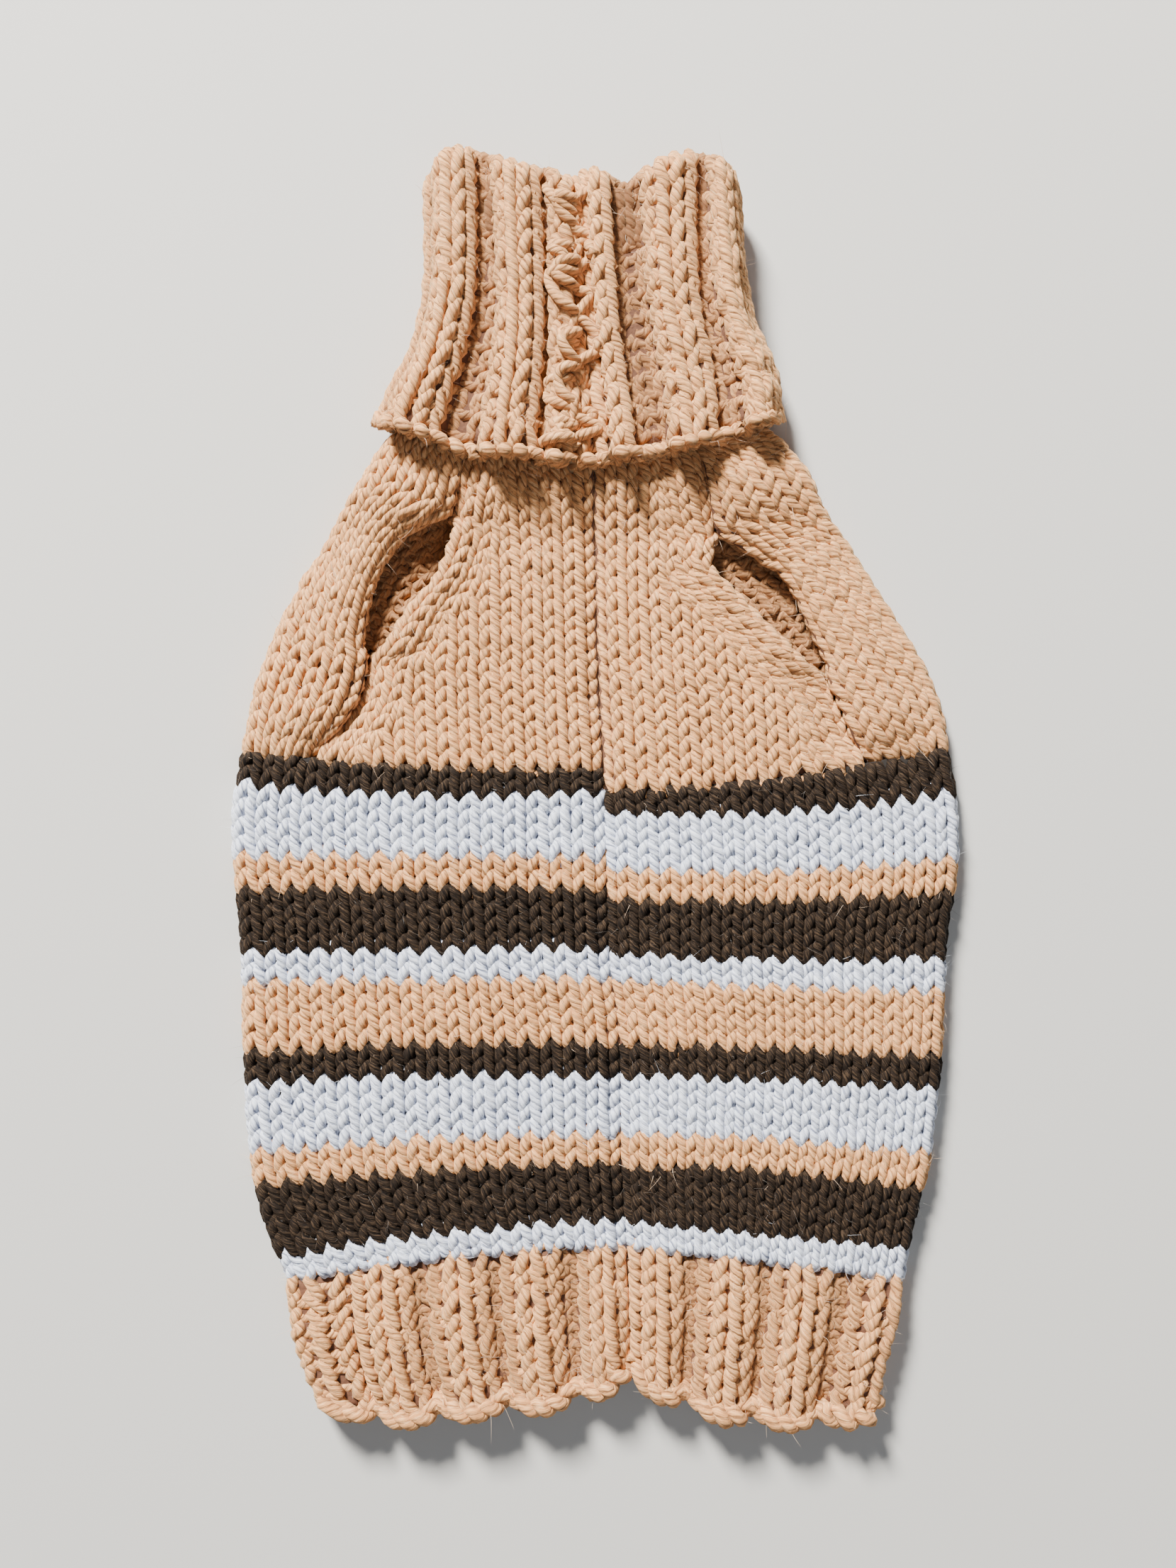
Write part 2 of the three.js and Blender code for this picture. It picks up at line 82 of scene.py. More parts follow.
def laid(points):
    """Moves points in mm to the part's middle, in metres, and presses flat what lies low."""
    moved = points - LAY_CENTRE
    low = np.minimum(moved[..., 2] / PRESS_BELOW - 1, 0)
    moved[..., 2] = np.where(low < 0, PRESS_BELOW * np.exp(low), moved[..., 2])
    return moved * MM


print("a point 1 mm under the surface lands", float(laid(np.array([0, 0, -1.0]))[2] / MM), "mm over it")

# %% [markdown]
# ## Short tables instead of traced outlines
# A garment's edge is a smooth line through a few places. Each table has named columns, and one small
# function reads a column smoothly between its rows, as a maker would draw a curve through marks. A traced
# outline would need hundreds of points, and nobody could change it by hand.

# %% Tables of the garment's edges
def table(names, *rows):
    return dict(zip(names.split(), np.array(rows, float).T))


def read(marks, key, at, column):
    """A column of a table at any value of its key column, smoothly between the rows."""
    keys, values = marks[key], marks[column]
    at = np.clip(np.asarray(at, float), keys[0], keys[-1])
    slopes = np.empty(len(keys))
    slopes[1:-1] = (values[2:] - values[:-2]) / (keys[2:] - keys[:-2])
    slopes[0] = (values[1] - values[0]) / (keys[1] - keys[0])
    slopes[-1] = (values[-1] - values[-2]) / (keys[-1] - keys[-2])
    i = np.clip(np.searchsorted(keys, at, side="right") - 1, 0, len(keys) - 2)
    span = keys[i + 1] - keys[i]
    t = (at - keys[i]) / span
    smooth = values[i] + (values[i + 1] - values[i]) * t * t * (3 - 2 * t)
    return smooth + (slopes[i] * (1 - t) - slopes[i + 1] * t) * span * t * (1 - t)


def mix(a, b, t):
    return a + (b - a) * t


def ramp(x, low, high):
    """Rises smoothly from 0 at low to 1 at high."""
    t = np.clip((np.asarray(x, float) - low) / (high - low), 0, 1)
    return t * t * (3 - 2 * t)


STAND_LEFT, STAND_RIGHT = -54.0, 45.0
SIDES = table(
    "y left right",
    (-214, -94.5, 98), (-199, -102.5, 101.5), (-184, -106.9, 105.7), (-168, -109.2, 108.4),
    (-156, -114.4, 110.9), (-143, -118.1, 113.6), (-128, -121.1, 117.4), (-86, -123.3, 121.6),
    (-48, -124.4, 123.4), (-31, -126.3, 126.8), (-10, -127.3, 126.8), (3, -125.3, 125.3),
    (21, -122.3, 122.3), (37, -118.3, 117.9), (53, -112.4, 108.7), (67, -105.7, 100),
    (81, -96.8, 91.1), (95, -88.8, 80.6), (108, -80.1, 74), (118, -73.5, 66),
    (124, -65, 56.5), (130, STAND_LEFT, STAND_RIGHT),
)
SEAM = table(
    "y x",
    (-220, 12.6), (-160, 11), (-130, 9), (-85, 8.2), (-60, 5), (0, 3), (50, 0.6), (130, -1),
)
waist = [float(read(SIDES, "y", -100, side)) for side in ("left", "right")]
print("sides at the waist", np.round(waist, 1), "mm")

# %% [markdown]
# ## The stripes
# A stripe is a whole number of rows in one yarn. Its edges sag toward the sides near the hem and rise
# beside the chest, and the two halves don't quite meet at the belly seam. Six heights hold each edge:
# at the seam, half way out and at the side fold, on the left and on the right. A curve drawn for each
# edge would hold more numbers and say no more.

# %% Rows of each stripe and the lines between them
STRIPES = (
    ("stripe_01_white", 2, "white"), ("stripe_02_dark", 4, "dark"), ("stripe_03_peach", 2, "peach"),
    ("stripe_04_white", 4, "white"), ("stripe_05_dark", 2, "dark"), ("stripe_06_peach", 4, "peach"),
    ("stripe_07_white", 2, "white"), ("stripe_08_dark", 4, "dark"), ("stripe_09_peach", 2, "peach"),
    ("stripe_10_white", 4, "white"), ("stripe_11_dark", 2, "dark"),
)
LINES = table(
    "left_seam left_half left_side right_seam right_half right_side",
    (-160, -162.5, -171, -160, -164, -170.8),
    (-149.7, -153.5, -162.2, -149.7, -154.1, -159.5),
    (-130.1, -132, -138, -131.6, -132.3, -138.8),
    (-120.6, -121.3, -126.4, -120.1, -121.3, -126.2),
    (-100, -99.2, -102.4, -100, -101, -104),
    (-88.9, -88.7, -92, -88.9, -89.9, -93),
    (-66.1, -66.1, -67.5, -66.4, -68.8, -70),
    (-55.6, -56, -56.8, -57.3, -59.3, -59.5),
    (-35, -34.5, -35.6, -38.9, -38.7, -36.5),
    (-24.2, -23.3, -23.5, -27.9, -28.8, -24.2),
    (-0.7, -2.5, 1.5, -8.1, -8.6, -2),
    (7.1, 7.7, 12.8, -0.5, 3.6, 14),
)
PLACES = ("seam", "half", "side")
NECK_LINE = dict(zip(PLACES, (117.0, 120.0, 130.0)))
ROW_AT_LINE = np.concatenate([[0], np.cumsum([rows for _, rows, _ in STRIPES])])
BODY_ROWS = int(ROW_AT_LINE[-1])


def bow(seam, half, side, across):
    """A height on a line of knitting: a parabola through its three heights."""
    return seam + across * (side - seam - 2 * (seam + side - 2 * half) * (1 - across))


def body_line(row, half, across):
    """Height of a row of the striped body on one half of the front."""
    heights = [np.interp(row, ROW_AT_LINE, LINES[f"{half}_{place}"]) for place in PLACES]
    return bow(*heights, across)


def yoke_line(up, half, across):
    """Height of a row of the yoke, from the stripes (0) to the neck (1)."""
    low = bow(*(LINES[f"{half}_{place}"][-1] for place in PLACES), across)
    return mix(low, bow(*NECK_LINE.values(), across), up)


print(BODY_ROWS, "rows in", len(STRIPES), "stripes")

# %% [markdown]
# ## A flattened tube
# The body is a tube pressed flat: its front and back lie on each other, joined by a round fold at each
# side. One number, `round_`, runs from the belly seam over the front's left half (0 to 1), the left fold
# (to 2), the back (to 3), the right fold (to 4) and the front's right half to the seam again (5). A
# sheet modelled by hand and solidified would do for the form, but stitches need such a number to follow.

# %% Walking round a flattened tube
def walk(round_):
    """How far across a place on the tube lies, and the angle that its wall faces.

    On the front, across is 0 at the seam and 1 at a fold. On the back it goes from left to right.
    """
    one = np.ones_like(round_)
    stretches = [round_ <= 1, round_ <= 2, round_ <= 3, round_ <= 4]
    across = np.select(stretches, [round_, one, round_ - 2, one], 5 - round_)
    left_fold, right_fold = 90 + 180 * (round_ - 1), 270 + 180 * (round_ - 3)
    facing = np.select(stretches, [90 * one, left_fold, 270 * one, right_fold], 450.0)
    return across, np.radians(facing)


def on_tube(round_, ends, radius):
    """Place on a tube's wall, as x and z.

    ends are the left and right ends of the tube's middle line, the two places where the front's halves
    begin, and the line's height.
    """
    across, facing = walk(round_)
    left, right, edge_left, edge_right, middle = ends
    line = np.select([round_ <= 2, round_ <= 3], [mix(edge_left, left, across), mix(left, right, across)],
                     mix(edge_right, right, across))
    return line + radius * np.cos(facing), middle + radius * np.sin(facing)


def by_half(round_, left, back, right):
    """Picks the value for the left, the back or the right of the tube, for each place."""
    return np.select([round_ <= 2, round_ <= 3], [left, back], right)


def on_front(round_):
    return (round_ <= 1) | (round_ >= 4)


print("places 0.5, 1.5 and 2.5 face", np.degrees(walk(np.array([0.5, 1.5, 2.5]))[1]), "degrees")

# %% [markdown]
# ## The striped body's form
# The rows of the body follow the stripes' edges, and the front swells a little between the seam and the
# folds, because a knitted tube never lies quite flat. One function gives any place on the cloth from the
# number round the tube and the row, so that sheets, stitches and seams can all be laid on it.

# %% The striped body's form
PILLOW = 1.6


def belly(round_):
    across, _ = walk(round_)
    return np.where(on_front(round_), PILLOW * np.sin(np.pi * across), 0)


def tube_ends(left_y, right_y, seam_x):
    """A tube's middle line between the sides at two heights, open at the seam by a hair."""
    left = read(SIDES, "y", left_y, "left") + LAYERED
    right = read(SIDES, "y", right_y, "right") - LAYERED
    return left, right, seam_x - HALF_GAP, seam_x + HALF_GAP, LAYERED


def striped_body(round_, row):
    """Middle of the cloth's wall in the striped body, in millimetres."""
    across, _ = walk(round_)
    left_side, right_side = body_line(row, "left", 1), body_line(row, "right", 1)
    y = by_half(round_, body_line(row, "left", across), mix(left_side, right_side, across),
                body_line(row, "right", across))
    seam = read(SEAM, "y", body_line(row, "left", 0), "x")
    x, z = on_tube(round_, tube_ends(left_side, right_side, seam), MID_WALL)
    return np.stack([x, y, z + belly(round_)], -1)


print("striped body's left fold", striped_body(np.array([1.5]), np.array([16.0]))[0].round(1))

# %% [markdown]
# ## The hem
# The hem is the same tube in two plain stitches and one turned stitch by turns, which draws it in
# and makes it stand in ribs. The turned stitches sink, the plain ones rise, and each rib reaches a
# little past the gaps at the edge. The ribs could be a wave, but hand-knitted ones differ in width, so
# each rib has its own start and end: 0 is the seam, and -1 and 1 are the folds.

# %% The hem's ribs and its edge
HEM_EDGE = table(
    "place y",
    (-1.1, -209), (-1, -212), (-0.9, -216), (-0.7, -216.3), (-0.45, -212.6), (-0.2, -210.5), (-0.1, -207),
    (0, -200.5), (0.1, -207), (0.25, -212), (0.55, -216.5), (0.8, -218), (1, -215), (1.1, -211),
)
HEM_RIBS = ((-1.12, -0.85), (-0.83, -0.65), (-0.61, -0.42), (-0.39, -0.2), (-0.15, -0.01), (0.01, 0.21),
            (0.26, 0.5), (0.54, 0.78), (0.84, 1.12))
HEM_ROWS = 8
HEM_HALF = 106.0
HEM_RISE, HEM_VALLEY, HEM_SCALLOP = 2.2, 1.3, 3.2
HEM_LOW = {"left": -212.0, "right": -214.0, "notch": -205.0}
HEM_UNDER = {"middle": -197.0, "side": -211.0}
FIRST_ROW_UP = 0.06


def rib_shape(t):
    """A rib's height across its width: flat on top, and 0 past its edges."""
    return np.where((t <= 0) | (t >= 1), 0, 1 - np.abs(2 * t - 1) ** 3)


def place_of(round_, half, radius):
    """How far round from the seam: -1 and 1 at the tops of the folds, more on the folds."""
    across, facing = walk(round_)
    left = round_ <= 2.5
    turned = np.where(left, facing - np.pi / 2, 2.5 * np.pi - facing)
    beyond = np.where(on_front(round_), across, 1 + radius * turned / half)
    return np.where(left, -beyond, beyond)


def hem(round_, row):
    """Middle of the hem's wall. row counts up from the free edge."""
    up = mix(FIRST_ROW_UP, 1, row / HEM_ROWS)
    across, facing = walk(round_)
    place = place_of(round_, HEM_HALF, LAYERED)
    raised = sum(rib_shape((place - start) / (end - start)) for start, end in HEM_RIBS)
    top_half = (round_ <= 1.5) | (round_ >= 3.5)
    raised = np.where(top_half, raised, 0)
    under = mix(HEM_UNDER["middle"], HEM_UNDER["side"], (2 * across - 1) ** 2)
    edge = read(HEM_EDGE, "place", place, "y")
    low = by_half(round_, edge, under, edge) - HEM_SCALLOP * raised
    high = by_half(round_, body_line(0.0, "left", across),
                   mix(body_line(0.0, "left", 1), body_line(0.0, "right", 1), across),
                   body_line(0.0, "right", across))
    left_y = mix(HEM_LOW["left"], LINES["left_side"][0], up)
    right_y = mix(HEM_LOW["right"], LINES["right_side"][0], up)
    seam = read(SEAM, "y", mix(HEM_LOW["notch"], LINES["left_seam"][0], up), "x")
    x, z = on_tube(round_, tube_ends(left_y, right_y, seam), MID_WALL)
    relief = (HEM_RISE + HEM_VALLEY) * raised - HEM_VALLEY
    # Near the plain body the ribs fade to under a third of their height.
    fading = np.minimum(1, 0.3 + 1.4 * (1 - up))
    lift = relief * fading * np.clip(np.sin(facing), 0, 1)
    return np.stack([x, mix(low, high, up), z + belly(round_) + lift], -1)


print("hem's left corner", hem(np.array([1.0]), np.array([0.0]))[0].round(1))

# %% [markdown]
# ## The back and its bands
# Above the stripes the knitting divides in three. The back lies underneath and wraps round both sides,
# and its edges come forward as two bands beside the leg openings. The chest panels lie between them.
# Below an opening the band and the chest meet along a crease. The openings aren't cut out of a cloth:
# each row just ends at its edge, so one table for each side holds the band's and the chest's edge.

# %% The leg openings' edges
LEG_LEFT = table(
    "y band chest",
    (4, -101.5, -101.5), (15, -94.6, -94.6), (21, -88.8, -88.8), (31, -82.1, -82.1), (43, -79.2, -79.2),
    (51, -78.7, -73.3), (58, -77.7, -69.4), (65.5, -76.3, -63.8), (72, -74.3, -57.9), (80, -70, -53.9),
    (86, -65, -51.8), (90, -59, -50.6), (94, -50.4, -50.4), (107, -47, -47), (120, -43, -43),
)
LEG_RIGHT = table(
    "y band chest",
    (0, 99, 99), (10, 93.8, 93.8), (18, 88.9, 88.9), (26, 86, 86), (36.5, 81.1, 81.1), (42, 79, 75.8),
    (52, 74, 65.7), (58, 71, 59.8), (63.5, 69, 54.1), (69.5, 65.7, 48.3), (75, 61.5, 42.8),
    (80, 53.5, 41.8), (85, 45.5, 42.6), (89, 41.6, 41.6), (107, 38, 38), (120, 35, 35),
)
YOKE_ROWS = 21
STEPS_UP = np.linspace(0, 1, 85)


def edge_by_row(marks, column, half):
    """Where each row of the yoke crosses an edge of a leg opening: x, y and how far across.

    A row isn't level, so its crossing is found by going to and fro between the row and the edge.
    """
    side_y = yoke_line(STEPS_UP, half, 1.0)
    inset = LAYERED if half == "left" else -LAYERED
    far = read(SIDES, "y", side_y, half) + inset
    across = np.full_like(STEPS_UP, 0.7)
    for _ in range(10):
        y = yoke_line(STEPS_UP, half, across)
        x = read(marks, "y", y, column)
        seam = read(SEAM, "y", y, "x")
        across = (x - seam) / (far - seam)
    return {"x": x, "y": y, "across": across}


LEG_MARKS = {"left": LEG_LEFT, "right": LEG_RIGHT}
BAND = {half: edge_by_row(marks, "band", half) for half, marks in LEG_MARKS.items()}
CHEST = {half: edge_by_row(marks, "chest", half) for half, marks in LEG_MARKS.items()}
widest = [float(np.abs(BAND[half]["x"] - CHEST[half]["x"]).max()) for half in LEG_MARKS]
print("leg openings up to", np.round(widest, 1), "mm wide")

# %% [markdown]
# ## The back's form
# The bands bulge, because their rolled edges hold them up. Toward the neck the front lifts to lie on the
# collar's stand. The bands' edges are drawn in a little where an opening shows, as a free edge curls. A
# band could be a piece of its own, but on the real sweater its rows run on round the side into the back.

# %% The back's form
BAND_BULGE, BAND_SKEW = 3.4, 7.0
EDGE_INSET = 1.9
OPEN_WIDE = 4.0
LEAST_BAND = 0.3
NECK_MIDDLE = LAYERED + PIECE_GAP + CLOTH + 0.1
NECK_LIFT = NECK_MIDDLE - LAYERED
LIFT_FROM, LIFT_TO = 84.0, 107.0


def at_row(edge, up, column):
    return np.interp(up, STEPS_UP, edge[column])


def yoke_lift(y):
    return NECK_LIFT * ramp(y, LIFT_FROM, LIFT_TO)


def back(round_, row):
    """Middle of the back's wall, with the two bands that it carries to the front."""
    up = row / YOKE_ROWS
    across, _ = walk(round_)
    rise = BAND_SKEW * np.sin(np.pi * np.clip(up, 0, 1))
    left_y, right_y = yoke_line(up, "left", 1.0) + rise, yoke_line(up, "right", 1.0) + rise
    left_band_y = mix(at_row(BAND["left"], up, "y"), left_y, across)
    right_band_y = mix(at_row(BAND["right"], up, "y"), right_y, across)
    y = by_half(round_, left_band_y, mix(left_y, right_y, across), right_band_y)
    left_end = read(SIDES, "y", left_y, "left") + LAYERED
    right_end = read(SIDES, "y", right_y, "right") - LAYERED
    left_x, right_x = at_row(BAND["left"], up, "x"), at_row(BAND["right"], up, "x")
    left_inset = EDGE_INSET * ramp(at_row(CHEST["left"], up, "x") - left_x, 0, OPEN_WIDE)
    right_inset = EDGE_INSET * ramp(right_x - at_row(CHEST["right"], up, "x"), 0, OPEN_WIDE)
    left_edge = np.maximum(left_x - left_inset, left_end + LEAST_BAND)
    right_edge = np.minimum(right_x + right_inset, right_end - LEAST_BAND)
    ends = (left_end, right_end, left_edge, right_edge, LAYERED + yoke_lift(y))
    x, z = on_tube(round_, ends, MID_WALL)
    swelling = ramp(up, 0, 0.12) * (1 - ramp(up, 0.72, 1.0))
    bulge = np.where(on_front(round_), BAND_BULGE * swelling * np.sin(0.75 * np.pi * (1 - across)), 0)
    return np.stack([x, y, z + bulge], -1)


print("left band's edge, half way up", back(np.array([0.0]), np.array([10.5]))[0].round(1))

# %% [markdown]
# ## The chest panels' form
# Each chest panel reaches from the seam to its slanted edge. The edge rolls up beside the opening and is
# tucked under the band below it, which gives the crease. A panel could be bent by hand in sculpt mode,
# but a formula keeps its edge the same for the sheet and for the stitches.

# %% The chest panels' form
EDGE_ROLL, TUCK = 2.0, 2.4
FLAT_FROM, FLAT_TO = 80, 100


def chest_width(half, row):
    """Distance from the seam to the chest panel's outer edge along a row."""
    up = row / YOKE_ROWS
    seam = read(SEAM, "y", yoke_line(up, half, 0.0), "x")
    return np.abs(at_row(CHEST[half], up, "x") - seam)


def chest(half):
    """A function for the middle of a chest panel's wall: out is 0 at the seam and 1 at its outer edge."""
    sign = -1 if half == "left" else 1

    def place(out, row):
        up = row / YOKE_ROWS
        seam_y = yoke_line(up, half, 0.0)
        seam = read(SEAM, "y", seam_y, "x") + sign * HALF_GAP
        edge_x, band_x = at_row(CHEST[half], up, "x"), at_row(BAND[half], up, "x")
        opened = sign * (band_x - edge_x)
        edge = np.where(opened > PIECE_GAP, edge_x, band_x - sign * PIECE_GAP)
        reach = edge - sign * EDGE_INSET * ramp(opened, 0, OPEN_WIDE)
        across = at_row(CHEST[half], up, "across") * out
        y = yoke_line(up, half, across)
        swell = PILLOW * np.sin(np.pi * np.minimum(1, across)) * (1 - ramp(seam_y, FLAT_FROM, FLAT_TO))
        roll = EDGE_ROLL * ramp(out, 0.8, 0.94) * ramp(opened, 0, 1.5 * OPEN_WIDE)
        tuck = TUCK * ramp(up, 0, 0.1) * (1 - 0.6 * ramp(up, 0.6, 0.75))
        crease = tuck * ramp(out, 0.82, 1) * (1 - ramp(opened, 0, OPEN_WIDE))
        z = LAYERED + MID_WALL + yoke_lift(y) + swell + (roll - crease)
        return np.stack([mix(seam, reach, out), y, z], -1)

    return place


print("chest panels", chest_width("left", np.array([0, 21])).round(1), "mm wide at the stripes and the neck")

# %% [markdown]
# ## The collar
# The collar is one ribbed tube. Its stand goes up from the neck, turns over at the top and comes down
# outside itself, fanning out. Its ribs aren't alike, so a wave won't do: each has a start and an end at
# the fold and at the free edge, and a height. One of the gaps is two stitches wide.

# %% The collar's edges and ribs
COLLAR_SEAM = -8.0
COLLAR_SIDES = table(
    "y left right",
    (122, -75.6, 64.4), (130, -75.3, 64.2), (142, -71.1, 63.6), (151, -66.5, 61), (161, -62.8, 57.3),
    (171, -60.2, 54), (185, -59.2, 51.8), (215, -59.2, 49.8),
)
COLLAR_TOP = table(
    "x y",
    (-60, 206), (-54, 214.5), (-49, 218.8), (-41, 218.6), (-33, 216.2), (-26, 213), (-16, 212.6),
    (-9, 208.4), (-2, 211.2), (3, 211), (10, 208), (17, 212.4), (25, 215.6), (34, 218.4), (40, 216.4),
    (45, 211), (51, 203),
)
COLLAR_END = table(
    "place y",
    (-1.3, 127), (-1, 120.4), (-0.6, 113), (-0.3, 111.6), (0, 109.6), (0.3, 111.4), (0.6, 114.6),
    (1, 122), (1.3, 129),
)
COLLAR_RIBS = (
    ((-1.16, -0.81), (-1.14, -0.77), 2.4), ((-0.66, -0.26), (-0.55, -0.2), 2.4),
    ((-0.2, -0.01), (-0.15, -0.01), 1.5), ((0.12, 0.25), (0.22, 0.34), 1.8),
    ((0.48, 0.88), (0.53, 0.78), 2.4), ((0.96, 1.2), (0.94, 1.14), 2.4),
)
print(len(COLLAR_RIBS), "ribs across the collar's front")

# %% [markdown]
# ## The collar's form
# `row` counts up from the free edge, over the fold and down the stand, so that one piece of cloth and one
# run of rows make both layers. Two tubes, one in the other, would look the same from here, but the fold
# between them would be missing from the side.

# %% The collar's form
DOWN_ROWS, FOLD_ROWS, STAND_ROWS = 13.0, 1.2, 13.0
KNITTED_DOWN = 0.978
COLLAR_CORNER = {"left": 127.0, "right": 129.0}
COLLAR_UNDER = {"middle": 112.0, "side": 127.0}
COLLAR_FLARE, COLLAR_VALLEY, FULL_RIB = 1.2, 2.7, 1.5
FOLD_RADIUS = (NECK_MIDDLE - (LAYERED - CLOTH)) / 2
FOLD_MIDDLE = LAYERED - CLOTH + FOLD_RADIUS
FOLD_BEND = FOLD_RADIUS - CLOTH / 2


def collar(round_, row):
    """Middle of the collar's wall."""
    down = np.clip(KNITTED_DOWN * (1 - row / DOWN_ROWS), 0, 1)
    turned = np.pi * (1 - np.clip((row - DOWN_ROWS) / FOLD_ROWS, 0, 1))
    low = np.clip((row - DOWN_ROWS - FOLD_ROWS) / STAND_ROWS, 0, 1)
    across, facing = walk(round_)
    left_y = mix(read(COLLAR_TOP, "x", STAND_LEFT, "y"), COLLAR_CORNER["left"], down)
    right_y = mix(read(COLLAR_TOP, "x", STAND_RIGHT, "y"), COLLAR_CORNER["right"], down)
    left = mix(read(COLLAR_SIDES, "y", left_y, "left") + NECK_MIDDLE, STAND_LEFT + LAYERED, low)
    right = mix(read(COLLAR_SIDES, "y", right_y, "right") - NECK_MIDDLE, STAND_RIGHT - LAYERED, low)
    seam = mix(COLLAR_SEAM, 0.0, low)
    ends = (left, right, seam - HALF_GAP, seam + HALF_GAP, NECK_MIDDLE)
    radius = FOLD_MIDDLE - FOLD_BEND * np.cos(turned)
    middle_x, _ = on_tube(round_, ends, FOLD_MIDDLE)
    top = read(COLLAR_TOP, "x", middle_x, "y") - FOLD_RADIUS
    place = place_of(round_, (right - left) / 2, NECK_MIDDLE)
    under = mix(COLLAR_UNDER["middle"], COLLAR_UNDER["side"], (2 * across - 1) ** 2)
    front_end = read(COLLAR_END, "place", place, "y")
    end = by_half(round_, front_end, under, front_end)
    front_neck = bow(*NECK_LINE.values(), across)
    neck = by_half(round_, front_neck, NECK_LINE["side"], front_neck)
    y = np.where(down > 0, mix(top, end, down), mix(top + FOLD_BEND * np.sin(turned), neck, low))
    x, z = on_tube(round_, ends, radius)
    faces_up = np.clip(np.sin(facing), 0, 1)
    raised = 0
    for (top_from, top_to), (end_from, end_to), rise in COLLAR_RIBS:
        start, stop = mix(top_from, end_from, down), mix(top_to, end_to, down)
        raised = raised + rise * rib_shape((place - start) / (stop - start))
    past_fold = np.where(turned > np.pi / 2, np.sin(turned / 2) ** 8, 0)
    covered = np.minimum(raised / FULL_RIB, 1)
    lift = (raised - COLLAR_VALLEY * (1 - covered)) * faces_up * past_fold
    lift = lift + COLLAR_FLARE * faces_up * ramp(down, 0.6, 1)
    return np.stack([x, y, z + lift], -1)


print("collar's top left", collar(np.array([1.2]), np.array([13.6]))[0].round(1))

# %% [markdown]
# ## The path of a stitch
# In stocking stitch the yarn rises up one leg, over the head of the loop, down the other leg and along
# to the next stitch. Three waves give that path: a sideways wave that runs twice as fast as the up and
# down one makes the loop wider at its head than at its foot, which is what shows as a V, and the third
# takes heads and feet behind the legs. A turned stitch is the same with the third wave reversed. No two
# stitches of a hand are alike, so each wave varies a little from stitch to stitch.

# %% Stitch paths on any cloth
LEAN, REACH = 0.225, 0.92
LOOSE_LEAN, LOOSE_REACH = -0.02, 0.04
LOOP_DEPTH = 0.95
SPREAD = {"lean": 0.14, "reach": 0.08, "drift": 0.05, "sink": 0.24}


def by_hand(count, size):
    """Small random differences, as between the stitches of one hand."""
    return rng.normal(0, size, count)


def row_path(edges, kinds, row, steps, upside=1.0, uneven=1.0, sunk=0.0, loose=0.0):
    """One row's yarn: places across the cloth, rows up and millimetres off its middle.

    edges are where the stitches meet, kinds is 1 for a plain and -1 for a turned stitch, and turned
    stitches are sunk so far. Loose stitches are longer, with steeper legs.
    """
    count = len(kinds)
    t = np.linspace(0, 1, steps, endpoint=False)
    phase = (np.arange(count)[:, None] + t[None, :]).ravel()
    phase = np.append(phase, count)
    which = np.minimum(phase.astype(int), count - 1)
    width = (edges[1:] - edges[:-1])[which]
    inside = phase - which
    turn = 2 * np.pi * inside
    lean = (LEAN + LOOSE_LEAN * loose) * (1 + by_hand(count, SPREAD["lean"] * uneven))[which]
    reach = (REACH + LOOSE_REACH * loose) * (1 + by_hand(count, SPREAD["reach"] * uneven))[which]
    drift = np.interp(phase, np.arange(count + 1), by_hand(count + 1, SPREAD["drift"] * uneven))
    sink = np.interp(phase, np.arange(count + 1), by_hand(count + 1, SPREAD["sink"] * uneven))
    kind = np.interp(phase, np.arange(count) + 0.5, kinds)
    place = edges[which] + width * (inside + lean * np.sin(2 * turn))
    rows_up = row + 0.5 - upside * reach * np.cos(turn) + drift
    off = -LOOP_DEPTH * kind * np.cos(2 * turn) + sink + sunk * (kind - 1) / 2
    return place, rows_up, off


print("a stitch leans", LEAN, "of its width and reaches", REACH, "of a row")

# %% [markdown]
# ## Laying a path on the cloth
# A stitch path is flat until it is laid on a form. At each point the form's own directions, along a row
# and up the rows, are measured over a tiny step, and the path stands off along their common normal. A
# shrinkwrap modifier would find the nearest surface instead, which goes wrong where two layers touch.

# %% Laying a path on the cloth
TINY = 1e-3


def unit(vectors):
    return vectors / (np.linalg.norm(vectors, axis=-1, keepdims=True) + 1e-12)


def lay(surface, place, row, off, facing=1.0):
    """Puts a path on a cloth's middle surface. Returns points and the cloth's normals there, in mm."""
    along = surface(place + TINY, row) - surface(place - TINY, row)
    upward = surface(place, row + TINY) - surface(place, row - TINY)
    normal = unit(np.cross(upward, along) * facing)
    return surface(place, row) + normal * off[..., None], normal


crest, _ = lay(hem, np.array([0.5]), np.array([4.0]), np.array([LOOP_DEPTH]))
print("a loop on the hem's front rises to", crest[0].round(1))

# %% [markdown]
# ## Sweeping the yarn
# A tube is a ring of points carried along a path. A curve with a bevel makes one too, but its rings turn
# as they like. Here the cloth's normal keeps the ring from twisting, so the place round the ring can
# drive the twist of the yarn's plies later.

# %% A ring carried along a path
def angles_round(sides):
    return np.linspace(-np.pi, np.pi, sides, endpoint=False)


def tube(points, normals, radius, sides):
    """Ring points along a path: an array of path points by sides, and the path's running length."""
    along = unit(np.gradient(points, axis=0))
    flat = unit(normals - along * (normals * along).sum(1, keepdims=True))
    across = np.cross(along, flat)
    cosine, sine = (wave(angles_round(sides))[None, :, None] for wave in (np.cos, np.sin))
    ring = flat[:, None, :] * cosine + across[:, None, :] * sine
    length = np.concatenate([[0], np.cumsum(np.linalg.norm(np.diff(points, axis=0), axis=1))])
    return points[:, None, :] + ring * radius, length


